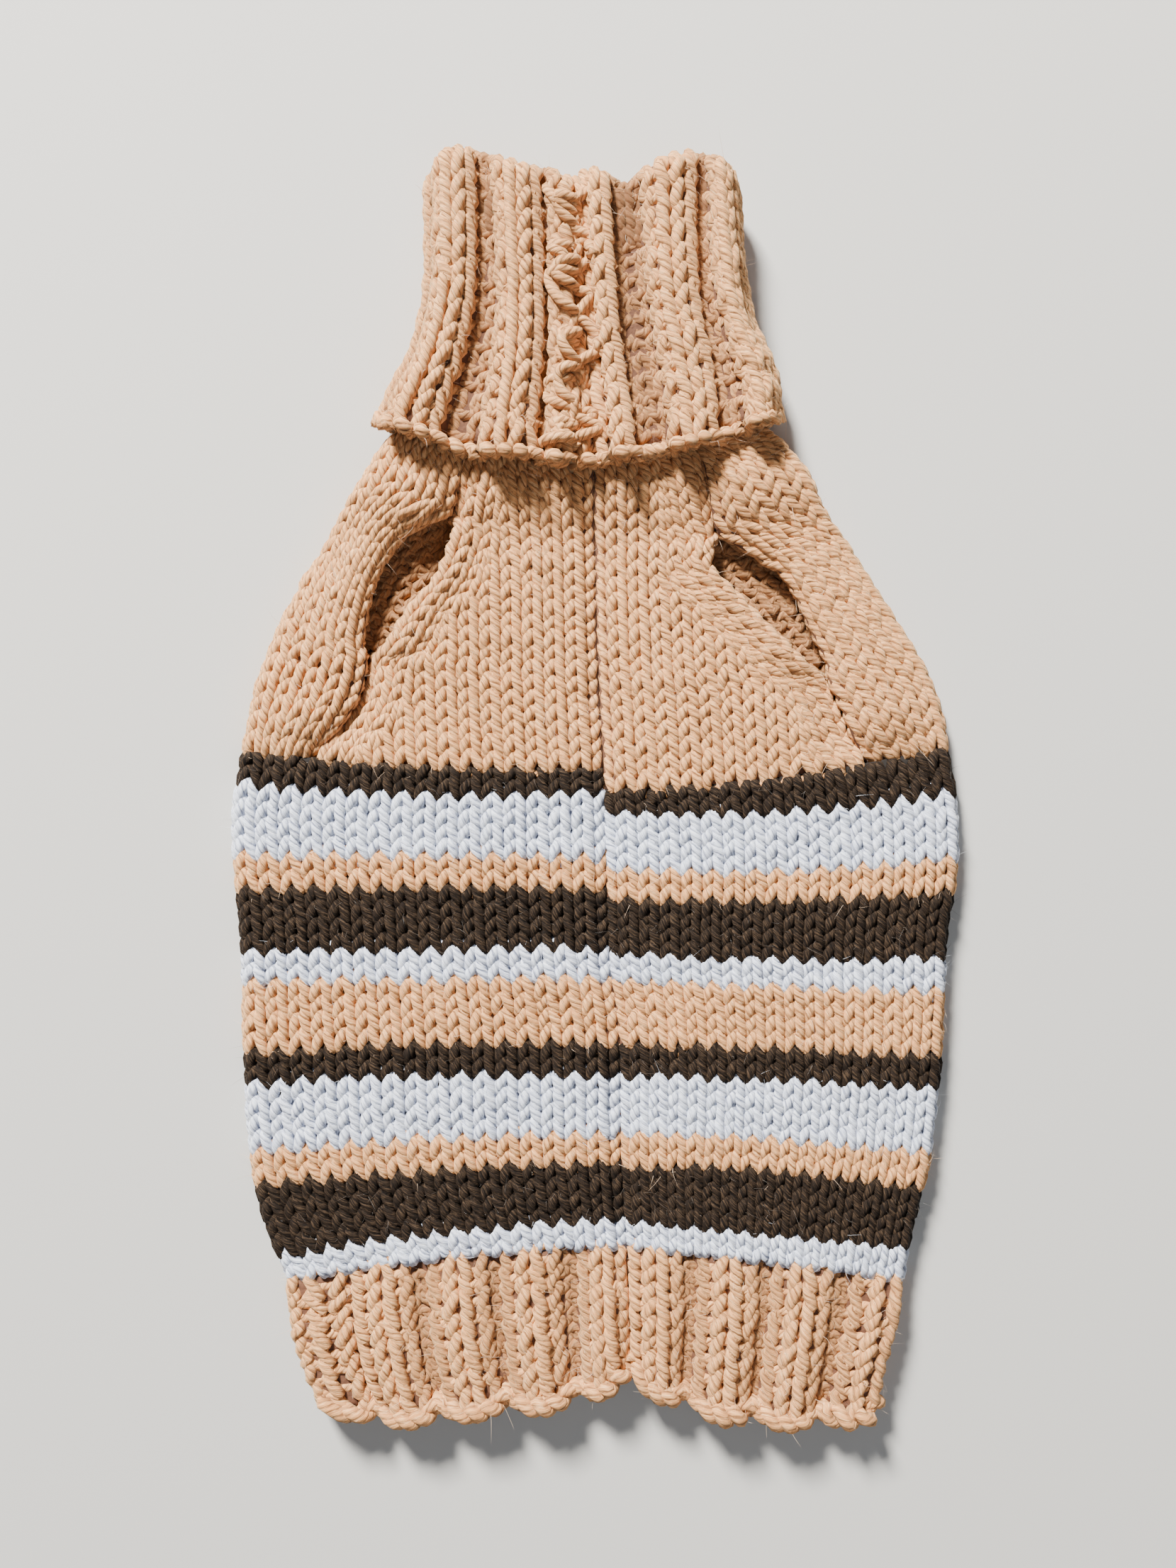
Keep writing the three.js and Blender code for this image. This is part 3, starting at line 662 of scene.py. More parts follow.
def show_mesh(name, points, faces, material):
    """Makes a smooth mesh of points in metres, and an object that shows it."""
    data = bpy.data.meshes.new(name)
    data.from_pydata(points.tolist(), [], faces)
    data.polygons.foreach_set("use_smooth", np.ones(len(data.polygons), bool))
    data.materials.append(material)
    piece = bpy.data.objects.new(name, data)
    bpy.context.collection.objects.link(piece)
    return piece


up_z = np.tile([0.0, 0.0, 1.0], (3, 1))
sample, sample_length = tube(np.array([[0.0, 0, 0], [3, 0, 0], [6, 0, 0]]), up_z, YARN_RADIUS, 8)
print("a straight piece of yarn", sample_length[-1], "mm long has", sample.shape[:2], "points")

# %% [markdown]
# ## Rows of yarn in one mesh
# A stripe's rows are one mesh, because hundreds of objects are slow to handle. Each point keeps how
# much shade is painted on it, for the little light inside the cloth, and the finish paints it. One UV map
# holds the length along the yarn and the place round it. A second one gives each row its own strip, so
# that nothing overlaps when it is baked.

# %% Rows of yarn in one mesh
class Yarn:
    """Collects tubes and turns them into one mesh with its two UV maps."""

    def __init__(self):
        self.points, self.away, self.shade = [], [], []
        self.quads, self.caps, self.twist, self.strips = [], [], [], []
        self.count = 0

    def add(self, points, normals, radius=YARN_RADIUS, sides=8, inside=0.85, deep=0.0):
        """Adds a tube. Shade is painted on its inner half by inside, and on all of it by the last argument.
        """
        rings, length = tube(points, normals, radius, sides)
        steps = len(rings)
        # Painted shade: the inner half of each ring, facing into the cloth, is marked for darkening.
        inner = np.clip(0.5 - 0.8 * np.cos(angles_round(sides)), 0, 1)
        deep = np.broadcast_to(np.asarray(deep, float), (steps,))[:, None]
        self.shade.append(np.maximum(inside * inner[None, :], deep * np.ones((1, sides))).ravel())
        index = self.count + np.arange(steps * sides).reshape(steps, sides)
        nxt = np.roll(index, -1, axis=1)
        quads = np.stack([index[:-1], nxt[:-1], nxt[1:], index[1:]], -1).reshape(-1, 4)
        begin, side = np.meshgrid(length[:-1], np.arange(sides), indexing="ij")
        end, _ = np.meshgrid(length[1:], np.arange(sides), indexing="ij")
        u = np.stack([begin, begin, end, end], -1).reshape(-1, 4)
        v = np.stack([side, side + 1, side + 1, side], -1).reshape(-1, 4) / sides
        self.points.append(rings.reshape(-1, 3))
        self.away.append((rings - points[:, None, :]).reshape(-1, 3))
        self.quads.append(quads)
        self.twist.append(np.stack([u, v], -1))
        self.strips.append(np.stack([u / max(length[-1], 1e-6), v], -1))
        self.caps += [index[0][::-1].tolist(), index[-1].tolist()]
        self.count += steps * sides

    def mesh(self, name, colour):
        """Makes the mesh of all tubes, in the yarn of a colour."""
        quads = np.concatenate(self.quads)
        faces = quads.tolist() + self.caps
        piece = show_mesh(name, laid(np.concatenate(self.points)), faces, YARNS[colour])
        share = 1 / len(self.strips)
        apart = [strip * [1, 0.94 * share] + [0, (k + 0.03) * share] for k, strip in enumerate(self.strips)]
        for map_name, parts in (("Yarn", self.twist), ("OFBake", apart)):
            sides = np.concatenate(parts).reshape(-1, 2)
            caps = np.zeros((len(piece.data.loops) - len(sides), 2))
            layer = piece.data.uv_layers.new(name=map_name)
            layer.data.foreach_set("uv", np.concatenate([sides, caps]).ravel())
        # Each point's painted shade goes to the finish as a point attribute.
        shade = piece.data.attributes.new("Inside", "FLOAT", "POINT")
        shade.data.foreach_set("value", np.concatenate(self.shade))
        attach(piece, "root")
        print(name, len(self.strips), "lengths of yarn,", 2 * len(quads), "triangles")
        return piece


# %% [markdown]
# ## Short ways to build a finish
# A finish is a tree of nodes before the shader. Built by hand in the node editor it is quick to try, and
# written out in full it is long. This small class adds a node and feeds its sockets in one line.

# %% Short ways to build a finish
class Finish:
    """A new material, and ways to add nodes before its shader."""

    def __init__(self, name):
        self.material = bpy.data.materials.new(name)
        self.material.use_nodes = True
        self.nodes, self.links = self.material.node_tree.nodes, self.material.node_tree.links

    def feed(self, socket, value):
        """Feeds a socket with another node's output, a colour or a number."""
        if isinstance(value, bpy.types.NodeSocket):
            self.links.new(value, socket)
        else:
            socket.default_value = (*value, 1) if isinstance(value, tuple) else value

    def node(self, kind, feeds=None, **settings):
        """Adds a node, feeds its sockets and returns its outputs."""
        new = self.nodes.new(f"ShaderNode{kind}")
        for key, value in settings.items():
            setattr(new, key, value)
        for key, value in (feeds or {}).items():
            self.feed(new.inputs[key], value)
        return new.outputs

    def maths(self, operation, a, b=0.5):
        return self.node("Math", {0: a, 1: b}, operation=operation)[0]

    def blend(self, share, a, b, blend_type="MIX"):
        feeds = {"Factor": share, "A": a, "B": b}
        return self.node("Mix", feeds, data_type="RGBA", blend_type=blend_type)["Result"]

    def clamp(self, value):
        return self.node("Clamp", {"Value": value})[0]

    def shade(self, feeds):
        """Feeds the shader and returns the material."""
        for key, value in feeds.items():
            self.feed(self.nodes["Principled BSDF"].inputs[key], value)
        return self.material


# %% [markdown]
# ## The yarn's finish
# Wool-blend yarn is matt and soft: four plies twist round each other, light catches each ply and the
# grooves between them are dark. Each ply could be a tube of its own, at four times the mesh. So the
# finish reads the twist from the UV map instead, rounds each ply with bump, paints shade into the
# grooves in a dark groove colour, and adds fine fibres that run with the plies. The same groove colour is
# the painted shade on inner halves of tubes and on sunk stitches. A little sheen stands for the fuzz.

# %% A material for each yarn
PLIES, PLY_TURN = 4, 10.0
FIBRES_ALONG, FIBRES_ROUND = 0.11, 5.0


def yarn_material(name, body, groove, light, fibre=0.6, sheen=0.4, ply_bump=0.38):
    """Plied wool in its body colour, with painted shade in the groove colour between plies, and light
    fibres.
    """
    finish = Finish(name)
    maths = finish.maths
    spot = finish.node("SeparateXYZ", {0: finish.node("UVMap", uv_map="Yarn")[0]})
    along, around = spot[0], spot[1]
    turned = maths("ADD", around, maths("DIVIDE", along, PLY_TURN))
    ply = maths("ABSOLUTE", maths("SINE", maths("MULTIPLY", turned, math.pi * PLIES)))
    run, fine = maths("MULTIPLY", along, FIBRES_ALONG), maths("MULTIPLY", turned, FIBRES_ROUND)
    strand = finish.node("CombineXYZ", {0: run, 1: fine})[0]
    grain = {"Vector": strand, "Scale": 3.0, "Detail": 5.0, "Roughness": 0.75}
    fibres = finish.node("TexNoise", grain)["Fac"]

    # Painted shade: the base turns to the groove colour between the plies, and where the fibre noise is low.
    rounded = maths("POWER", maths("MAXIMUM", ply, maths("MULTIPLY", fibres, 0.45)), 0.5)
    hollows = maths("MULTIPLY", maths("SUBTRACT", 0.52, fibres), 4.5 * fibre)
    base = finish.blend(finish.clamp(maths("SUBTRACT", rounded, hollows)), groove, body)
    bright = finish.clamp(maths("MULTIPLY", maths("SUBTRACT", fibres, 0.5), 5.0))
    toned = finish.blend(maths("MULTIPLY", bright, fibre), base, light)
    place = finish.node("TexCoord")["Object"]
    patches = finish.node("TexNoise", {"Vector": place, "Scale": 70.0, "Detail": 3.0})["Fac"]
    value = maths("ADD", maths("MULTIPLY", patches, 0.28), 0.86)
    dyed = finish.node("HueSaturation", {"Color": toned, "Value": value})[0]
    # This attribute paints the groove colour as shade on inner halves of tubes and on sunk stitches.
    inside = finish.node("Attribute", attribute_name="Inside")["Fac"]

    height = maths("ADD", rounded, maths("MULTIPLY", fibres, 0.9))
    relief = {"Strength": 0.9, "Distance": ply_bump * MM, "Height": height}
    return finish.shade({
        "Base Color": finish.blend(inside, dyed, groove),
        "Normal": finish.node("Bump", relief)[0],
        "Roughness": 0.82,
        "Specular IOR Level": 0.15,
        "Sheen Weight": sheen,
        "Sheen Roughness": 0.45,
        "Sheen Tint": light,
    })


# Each yarn: its body colour, its groove colour for painted shade, and the colour of its light fibres.
PEACH = ((0.85, 0.395, 0.155), (0.13, 0.05, 0.022), (1.0, 0.775, 0.45))
WHITE = ((0.79, 0.85, 1.0), (0.16, 0.18, 0.28), (1.0, 1.0, 1.0))
DARK = ((0.019, 0.012, 0.008), (0.005, 0.0035, 0.003), (0.125, 0.078, 0.046))
YARNS = {
    "peach": yarn_material("peach_yarn", *PEACH),
    "white": yarn_material("white_yarn", *WHITE, fibre=0.8),
    "dark": yarn_material("dark_yarn", *DARK, fibre=0.9, sheen=0.06, ply_bump=0.5),
}
print("yarns", sorted(YARNS), "each with", len(YARNS["peach"].node_tree.nodes), "nodes")

# %% [markdown]
# ## Sharing stitches round a tube
# The front shows about 33 stitches across, and the folds and the back carry the rest of the row. The back
# lies on the surface and hardly shows, so it is knitted in plainer steps, which saves many triangles.

# %% Sharing stitches round a tube
FINE, PLAIN = (12, 8), (8, 6)
UNDER_FROM, UNDER_TO = 2.1, 2.9


def share_round(left, fold, under, right):
    """Where the stitches meet round a tube with so many in each stretch."""
    marks = np.cumsum([0, left, fold, under, fold, right])
    stitches = np.arange(0, int(round(marks[-1])) + 1) * marks[-1] / round(marks[-1])
    return np.interp(stitches, marks, [0, 1, 2, 3, 4, 5])


def underneath(edges, start, stop):
    """The first stitch of a row that lies underneath, and the first one past them."""
    middle = (edges[1:] + edges[:-1]) / 2
    below = (middle > start) & (middle < stop)
    return np.argmax(below), len(below) - np.argmax(below[::-1])


BODY_EDGES = share_round(16, 1.4, 31, 16)
first, last = underneath(BODY_EDGES, UNDER_FROM, UNDER_TO)
print(len(BODY_EDGES) - 1, "stitches round the body,", int(last - first), "of them underneath")

# %% [markdown]
# ## Knitting one row
# Each row starts at the belly seam, goes round the tube and comes back to the seam, where the sewing
# draws it down. Pressing that groove in afterwards would stretch the stitches, so each path is lowered
# before it is laid. Stitches sunk between ribs would get less light, so shade is painted on their rows
# there.

# %% Knitting one row
SEAM_SINK, SEAM_HALF = 1.4, 0.024
GAP_SHADE = 0.62


def dip(distance, width):
    """A soft hollow: 1 in its middle, fading to nothing over twice its width."""
    return np.exp(-((distance / width) ** 2))


def groove(place):
    """How deep the belly seam draws the cloth in, at a place round a tube."""
    return SEAM_SINK * (dip(place, SEAM_HALF) + dip(5 - place, SEAM_HALF))


def knit_round(yarn, surface, edges, kinds, row, upside=1.0, uneven=1.0, sunk=0.0, radius=YARN_RADIUS):
    """Knits one row: its front stretches finely and the stretch underneath plainly."""
    middle = (edges[1:] + edges[:-1]) / 2
    loose = float(sunk > 0)
    first, last = underneath(edges, UNDER_FROM, UNDER_TO)
    for start, stop, (steps, sides) in ((0, first, FINE), (first, last, PLAIN), (last, len(kinds), FINE)):
        part = kinds[start:stop]
        place, up, off = row_path(edges[start : stop + 1], part, row, steps, upside, uneven, sunk, loose)
        # Painted shade on the turned stitches that sink between ribs.
        shade = GAP_SHADE * loose * np.interp(place, middle[start:stop], (1 - part) / 2)
        yarn.add(*lay(surface, place, up, off - groove(place)), radius=radius, sides=sides, deep=shade)


print("the seam draws the cloth in by", round(float(groove(0.0)), 2), "mm")

# %% [markdown]
# ## Knitting the striped body
# A stripe is a few rows in one yarn. A change of yarn shows as zigzags, because each row's loops reach
# into the next row. That comes by itself here, where a colour band painted on a cloth would be straight.

# %% Knitting the striped body
plain = np.ones(len(BODY_EDGES) - 1)
striped, stripe_yarns = [], []
for (name, rows, colour), first_row in zip(STRIPES, ROW_AT_LINE):
    yarn = Yarn()
    for row in range(rows):
        knit_round(yarn, striped_body, BODY_EDGES, plain, first_row + row)
    stripe_yarns.append(yarn)
    striped.append(yarn.mesh(name, colour))

# %% [markdown]
# ## Stitches that follow the ribs
# Two plain columns fill each rib of the hem and a turned one sinks in each gap. Where two ribs stand close,
# the turned stitch is hidden between them and is left out. Equal stitches all round would drift off the
# ribs, so the stitches are set out on each rib. Underneath, ribs of the same kind go on.

# %% Stitches that follow the ribs
LEAST_GAP = 0.025


def ribbed_edges(ribs, count):
    """Where a ribbed tube's stitches meet on its front, with so many on a rib, and each one's kind."""
    edges, kinds = [ribs[0][0]], []
    for k, (start, stop) in enumerate(ribs):
        if k and start - edges[-1] > LEAST_GAP:
            edges.append(start)
            kinds.append(-1.0)
        elif k:
            edges[-1] = (start + edges[-1]) / 2
        edges += list(np.linspace(edges[-1], stop, count + 1)[1:])
        kinds += [1.0] * count
    return np.array(edges), np.array(kinds)


def rib_pattern(count):
    return np.where(np.arange(count) % 3 == 0, -1.0, 1.0)


def round_of(place, half, radius):
    """The place on a tube for a distance from the seam, the reverse of place_of."""
    beyond = np.maximum(np.abs(place) - 1, 0) * half / radius / np.pi
    left = np.minimum(np.abs(place), 1) + beyond
    return np.where(place <= 0, left, 5 - left)


def close_round(places, kinds, half, radius, under):
    """Joins the front's ribs to ribs of the same kind round the folds and underneath."""
    rounds = round_of(places, half, radius)
    left = places <= 0
    to_left = np.sort(rounds[left])
    to_right = np.sort(rounds[~left])
    left_kinds = kinds[: left.sum() - 1][::-1]
    seam_kind = kinds[left.sum() - 1]
    right_kinds = kinds[left.sum():][::-1]
    below = np.linspace(to_left[-1], to_right[0], under + 1)
    edges = np.concatenate([[0], to_left, below[1:-1], to_right, [5]])
    all_kinds = np.concatenate([[seam_kind], left_kinds, rib_pattern(under), right_kinds, [seam_kind]])
    keep = np.concatenate([[True], np.diff(edges) > TINY])
    return edges[keep], all_kinds[keep[1:]]


hem_places, front_kinds = ribbed_edges(HEM_RIBS, 2)
turned_stitches = int((front_kinds < 0).sum())
print(len(front_kinds) - turned_stitches, "plain and", turned_stitches, "turned stitches on the hem's front")

# %% [markdown]
# ## Knitting the hem
# The hem is knitted more loosely than the body, so its strands look thicker and vary more. The same yarn
# in the same stitch would do, but the rib would look too neat beside the stripes.

# %% Knitting the hem
HEM_YARN, HEM_SUNK, LESS_EVEN = 2.2, 1.3, 1.3
HEM_UNDER_STITCHES = 26
hem_edges, hem_kinds = close_round(hem_places, front_kinds, HEM_HALF, LAYERED, HEM_UNDER_STITCHES)
hem_yarn = Yarn()
for row in range(HEM_ROWS):
    knit_round(hem_yarn, hem, hem_edges, hem_kinds, row, uneven=LESS_EVEN, sunk=HEM_SUNK, radius=HEM_YARN)
hem_stitches = hem_yarn.mesh("hem_stitches", "peach")

# %% [markdown]
# ## Cast-on and cast-off edges
# The first loops of a knitting are tied on with a second strand, and the last are drawn through each
# other. Either way two strands wind round each other once in a stitch, which shows as a row of knots. One
# thick tube along the edge would look like piping, so both strands are made.

# %% A row of knots along a free edge
KNOT, KNOT_AHEAD = 1.9, 0.2
STRAND_SIDES = 7


def knots(yarn, surface, edges, row, radius, lumps=0.15):
    """Two strands round each other along a row, with a turn in each stitch."""
    count = len(edges) - 1
    phase = np.linspace(0, count, 8 * count + 1)
    place = np.interp(phase, np.arange(count + 1), edges)
    size = KNOT * np.interp(phase, np.arange(count + 1), 1 + by_hand(count + 1, lumps))
    ahead = surface(place, np.full_like(place, row + KNOT_AHEAD)) - surface(place, np.full_like(place, row))
    pitch = np.linalg.norm(ahead, axis=-1) / KNOT_AHEAD
    for start in (0.0, np.pi):
        turn = 2 * np.pi * phase + start
        points, normals = lay(surface, place, row + size * np.sin(turn) / pitch, size * np.cos(turn) + 0.4)
        yarn.add(points, normals, radius, STRAND_SIDES)


cast_on = Yarn()
knots(cast_on, hem, hem_edges, -0.12, radius=2.4, lumps=0.35)
cast_on_piece = cast_on.mesh("hem_cast_on", "peach")

# %% [markdown]
# ## Knitting the back and its bands
# The back and its bands are one row round from one band's edge to the other's. The back loses stitches
# toward the neck, every third row. The edges curl down into the opening, so the row dives there and no
# cut end of a tube shows.

# %% Knitting the back and its bands
BAND_STITCHES = 4.0
BACK_WIDTH, BACK_NARROWS = 240, 0.55
BACK_FROM, BACK_TO, BACK_PAINTED_SHADE = 2.08, 2.92, 0.6
EDGE_DIVE, EDGE_HALF = 1.7, 0.14


def back_stitches(row):
    width = BACK_WIDTH * (1 - BACK_NARROWS * ramp(row, 4, YOKE_ROWS))
    return int(round(width / STITCH_WIDTH))


back_yarn, band_yarn = Yarn(), Yarn()
for row in range(YOKE_ROWS):
    edges = share_round(BAND_STITCHES, 1.5, back_stitches(3 * (row // 3)), BAND_STITCHES)
    first, last = underneath(edges, BACK_FROM, BACK_TO)
    for start, stop in ((0, first), (first, last), (last, len(edges) - 1)):
        hidden = start == first
        steps, sides = PLAIN if hidden else FINE
        place, up, off = row_path(edges[start : stop + 1], np.ones(stop - start), row, steps)
        off = off - EDGE_DIVE * dip(np.minimum(place, 5 - place), EDGE_HALF)
        laid_row = lay(back, place, up, off)
        # Shade is painted on the inner halves of the back's yarn too, a little less than on the rest.
        if hidden:
            back_yarn.add(*laid_row, sides=sides, inside=BACK_PAINTED_SHADE)
        else:
            band_yarn.add(*laid_row, sides=sides)
back_piece = back_yarn.mesh("back_stitches", "peach")
band_piece = band_yarn.mesh("band_stitches", "peach")

# %% [markdown]
# ## Knitting the chest panels
# The chest panels narrow toward the neck: their stitches run straight up from the seam, and two stitches
# run along the slanted edge, where a maker works the decreases. The stitches between them are taken out
# one by one. Squeezing every row to its width would be simpler, but then all the columns would slant.

# %% Knitting the chest panels
EDGE_STITCH = 6.8
CHEST_SEAM_SINK, CHEST_SEAM_HALF = 1.3 * SEAM_SINK, 3.2
CHEST_EDGE_DIVE, CHEST_EDGE_HALF = 0.7 * EDGE_DIVE, 3.0
FACING = {"left": 1.0, "right": -1.0}


def chest_row(half, row):
    """A chest row's yarn: its columns go straight up, and the two beside the edge follow its slant."""
    width = float(chest_width(half, row + 0.5))
    inner = width - 2 * EDGE_STITCH
    upright = np.arange(int(inner / STITCH_WIDTH - 0.15) + 1) * STITCH_WIDTH
    edges = np.concatenate([upright, [inner, inner + EDGE_STITCH, width]])
    far, up, off = row_path(edges, np.ones(len(edges) - 1), row, FINE[0])
    now = chest_width(half, up)
    far = far + (now - width) * np.clip((far - upright[-1]) / (inner - upright[-1]), 0, 1)
    off = off - CHEST_SEAM_SINK * dip(far, CHEST_SEAM_HALF)
    off = off - CHEST_EDGE_DIVE * dip(now - far, CHEST_EDGE_HALF)
    return np.minimum(far / now, 1.02), up, off


chest_pieces, chest_yarns = [], []
for half, facing in FACING.items():
    chest_yarn = Yarn()
    surface = chest(half)
    for row in range(YOKE_ROWS):
        chest_yarn.add(*lay(surface, *chest_row(half, row), facing=facing), sides=FINE[1])
    chest_yarns.append(chest_yarn)
    chest_pieces.append(chest_yarn.mesh(f"chest_{half}_stitches", "peach"))

# %% [markdown]
# ## Where the collar's stitches lie
# The collar's ribs fan out toward its free edge, so the places where its stitches meet change from row to
# row. Rows of the same stitches on a tube that is scaled wider would fan out too, but all ribs alike.

# %% Where the collar's stitches lie
COLLAR_STITCHES = (2, 2, 1, 1, 2, 2)
COLLAR_GAPS = (1, 1, 1, 2, 1)
COLLAR_HALF, COLLAR_FANS = 47, 14
COLLAR_UNDER_STITCHES = 15


def collar_places(down):
    """Where the collar's stitches meet across its front at a height, and their kinds."""
    spans = [(mix(top[0], end[0], down), mix(top[1], end[1], down)) for top, end, _ in COLLAR_RIBS]
    edges, kinds = [spans[0][0]], []
    for k, (start, stop) in enumerate(spans):
        edges += list(np.linspace(start, stop, COLLAR_STITCHES[k] + 1)[1:])
        kinds += [1.0] * COLLAR_STITCHES[k]
        if k < len(spans) - 1:
            edges += list(np.linspace(stop, spans[k + 1][0], COLLAR_GAPS[k] + 1)[1:])
            kinds += [-1.0] * COLLAR_GAPS[k]
    return np.array(edges), np.array(kinds)


def collar_round(down):
    """Where the stitches of a whole row of the collar meet, and their kinds."""
    places, kinds = collar_places(down)
    rounds = round_of(places, COLLAR_HALF + COLLAR_FANS * down, NECK_MIDDLE)
    seam_at = np.argmax(places > -0.02)
    left, right = rounds[:seam_at][::-1], rounds[seam_at + 1 :][::-1]
    left_kinds, right_kinds = kinds[: seam_at - 1][::-1], kinds[seam_at + 1 :][::-1]
    below = np.linspace(left[-1], right[0], COLLAR_UNDER_STITCHES + 1)
    edges = np.concatenate([[0], left, below[1:-1], right, [5]])
    pattern = rib_pattern(COLLAR_UNDER_STITCHES)
    return edges, np.concatenate([[1.0], left_kinds, pattern, right_kinds, [1.0]])


print(len(collar_round(0.0)[1]), "stitches round the collar")

# %% [markdown]
# ## Knitting the collar
# The collar's stitches are upside down on the turned part, because the knitting went up the stand and came
# down over the fold. The rows end a little past the fold: deeper inside, only the sheet goes on, because
# nothing can see it. The last row is cast off loosely, so that the collar can stretch over the head.

# %% Knitting the collar
COLLAR_YARN, COLLAR_SUNK = 2.2, 1.5
PAST_FOLD = 3
collar_yarn = Yarn()
for row in range(int(DOWN_ROWS + FOLD_ROWS + PAST_FOLD)):
    edges, kinds = collar_round(float(np.clip(1 - (row + 0.5) / DOWN_ROWS, 0, 1)))
    knit_round(collar_yarn, collar, edges, kinds, float(row), upside=-1.0, uneven=LESS_EVEN,
               sunk=COLLAR_SUNK, radius=COLLAR_YARN)
collar_piece = collar_yarn.mesh("collar_stitches", "peach")
cast_off = Yarn()
knots(cast_off, collar, collar_round(1.0)[0], -0.22, radius=2.35)
cast_off_piece = cast_off.mesh("collar_cast_off", "peach")

# %% [markdown]
# ## Seams
# The belly seam is sewn with one strand that takes a bar from each side by turns. It draws both edges
# down into a groove, and it shows only as a zigzag deep between the stitches. The collar's seam was sewn
# more loosely, so there the strand lies on top in crossed loops with holes between them. One regular
# zigzag would look like a ladder, so three uneven ones cross each other.

# %% Sewn seams
def zigzag(yarn, surface, rows, width, off, wave=1.0, radius=1.2, start=0.0, loose=1.0):
    """A strand that crosses the belly seam to and fro, so far round on either side of it."""
    phase = np.linspace(0, 1, 10 * len(rows))
    row = np.interp(phase, np.linspace(0, 1, len(rows)), rows)
    late = np.interp(row, rows, 1 + loose * by_hand(len(rows), 0.6))
    far = np.interp(row, rows, 1 + loose * by_hand(len(rows), 0.3))
    high = np.interp(row, rows, 1 + loose * by_hand(len(rows), 0.15))
    turn = np.pi * row / wave + start + 0.8 * late
    reach = width * np.sin(turn) * far
    place = np.where(reach >= 0, reach, 5 + reach)
    points, normals = lay(surface, place, row, off * high + 0.6 * np.cos(2 * turn))
    yarn.add(points, normals, radius, STRAND_SIDES)


BODY_REACH, HEM_REACH, BODY_OVER, HEM_OVER = 0.016, 0.018, -1.4, -1.3
COLLAR_STRANDS = table(
    "start wave reach over",
    (0.0, 1.45, 0.1, 1.6), (2.6, 2.2, 0.15, 2.3), (4.4, 1.8, 0.07, 2.9),
)
COLLAR_SEWN = np.arange(0.5, DOWN_ROWS)
seam_yarn = Yarn()
zigzag(seam_yarn, striped_body, np.arange(0, BODY_ROWS), BODY_REACH, BODY_OVER)
zigzag(seam_yarn, hem, np.arange(0, HEM_ROWS), HEM_REACH, HEM_OVER)
for start, wave, reach, over in zip(*COLLAR_STRANDS.values()):
    zigzag(seam_yarn, collar, COLLAR_SEWN, reach, over, wave, YARN_RADIUS, start, loose=1.7)
seam_piece = seam_yarn.mesh("seam_strand", "peach")

# %% [markdown]
# ## Fuzz
# Loose ends of fibre stand off the yarn and catch the light along the outline. Particles would do for a
# film, but a part for a library needs plain geometry. So each hair is a thin three-sided cone, bent at
# random, and all hairs of a colour are one mesh.

# %% One hair, many times
HAIR_LENGTH, HAIR_RADIUS, HAIR_BEND = (1.3, 4.4), 0.052, 0.75
HAIR_RINGS = ((0, 1), (0.35, 0.85), (0.7, 0.6), (1, 0.2))


def hair_material(name, colour, tip):
    """Fibre: mottled along the hair by a fine noise, with a soft sheen."""
    finish = Finish(name)
    mottle = finish.node("TexNoise", {"Vector": finish.node("TexCoord")["Object"], "Scale": 400.0})["Fac"]
    mottled = finish.blend(mottle, colour, tip)
    return finish.shade({"Base Color": mottled, "Roughness": 0.7, "Sheen Weight": 0.4})


def hairs(yarns, colour, count):
    """Grows so many hairs from the outer half of the yarns, away from the cloth."""
    skin = np.concatenate([part for yarn in yarns for part in yarn.points])
    away = np.concatenate([part for yarn in yarns for part in yarn.away])
    outer = np.flatnonzero((away[:, 2] > 0.2) | (np.hypot(away[:, 0], away[:, 1]) > 1.6))
    pick = rng.choice(outer, count, replace=False)
    root, out = skin[pick], away[pick] / np.linalg.norm(away[pick], axis=1, keepdims=True)
    heading = out * 0.7 + rng.normal(0, HAIR_BEND, (count, 3))
    heading /= np.linalg.norm(heading, axis=1, keepdims=True)
    bend = rng.normal(0, HAIR_BEND, (count, 3))
    reach = rng.uniform(*HAIR_LENGTH, count)[:, None]
    side = np.cross(heading, rng.normal(0, 1, (count, 3)))
    side /= np.linalg.norm(side, axis=1, keepdims=True)
    other = np.cross(heading, side)
    rings = []
    for t, thick in HAIR_RINGS:
        centre = root + reach * (t * heading + t * t * bend)
        for angle in (0, 2 * np.pi / 3, 4 * np.pi / 3):
            rings.append(centre + HAIR_RADIUS * thick * (math.cos(angle) * side + math.sin(angle) * other))
    low = np.array([(3 * i + k, 3 * i + (k + 1) % 3) for i in range(3) for k in range(3)])
    one_hair = np.concatenate([low, low[:, ::-1] + 3], axis=1)
    quads = (one_hair[None] + 12 * np.arange(count)[:, None, None]).reshape(-1, 4)
    points = laid(np.stack(rings, 1).reshape(-1, 3))
    piece = show_mesh(f"{colour}_fuzz", points, quads.tolist(), HAIR[colour])
    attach(piece, "root")
    print(piece.name, count, "hairs,", 2 * len(quads), "triangles")


# %% [markdown]
# ## Fuzz of each colour
# A hair is lighter than its yarn, because light shines through it. The dark yarn is the hairiest for its
# area. Its hairs stay nearly as dark as the yarn, because pale ones would look like specks of dust.

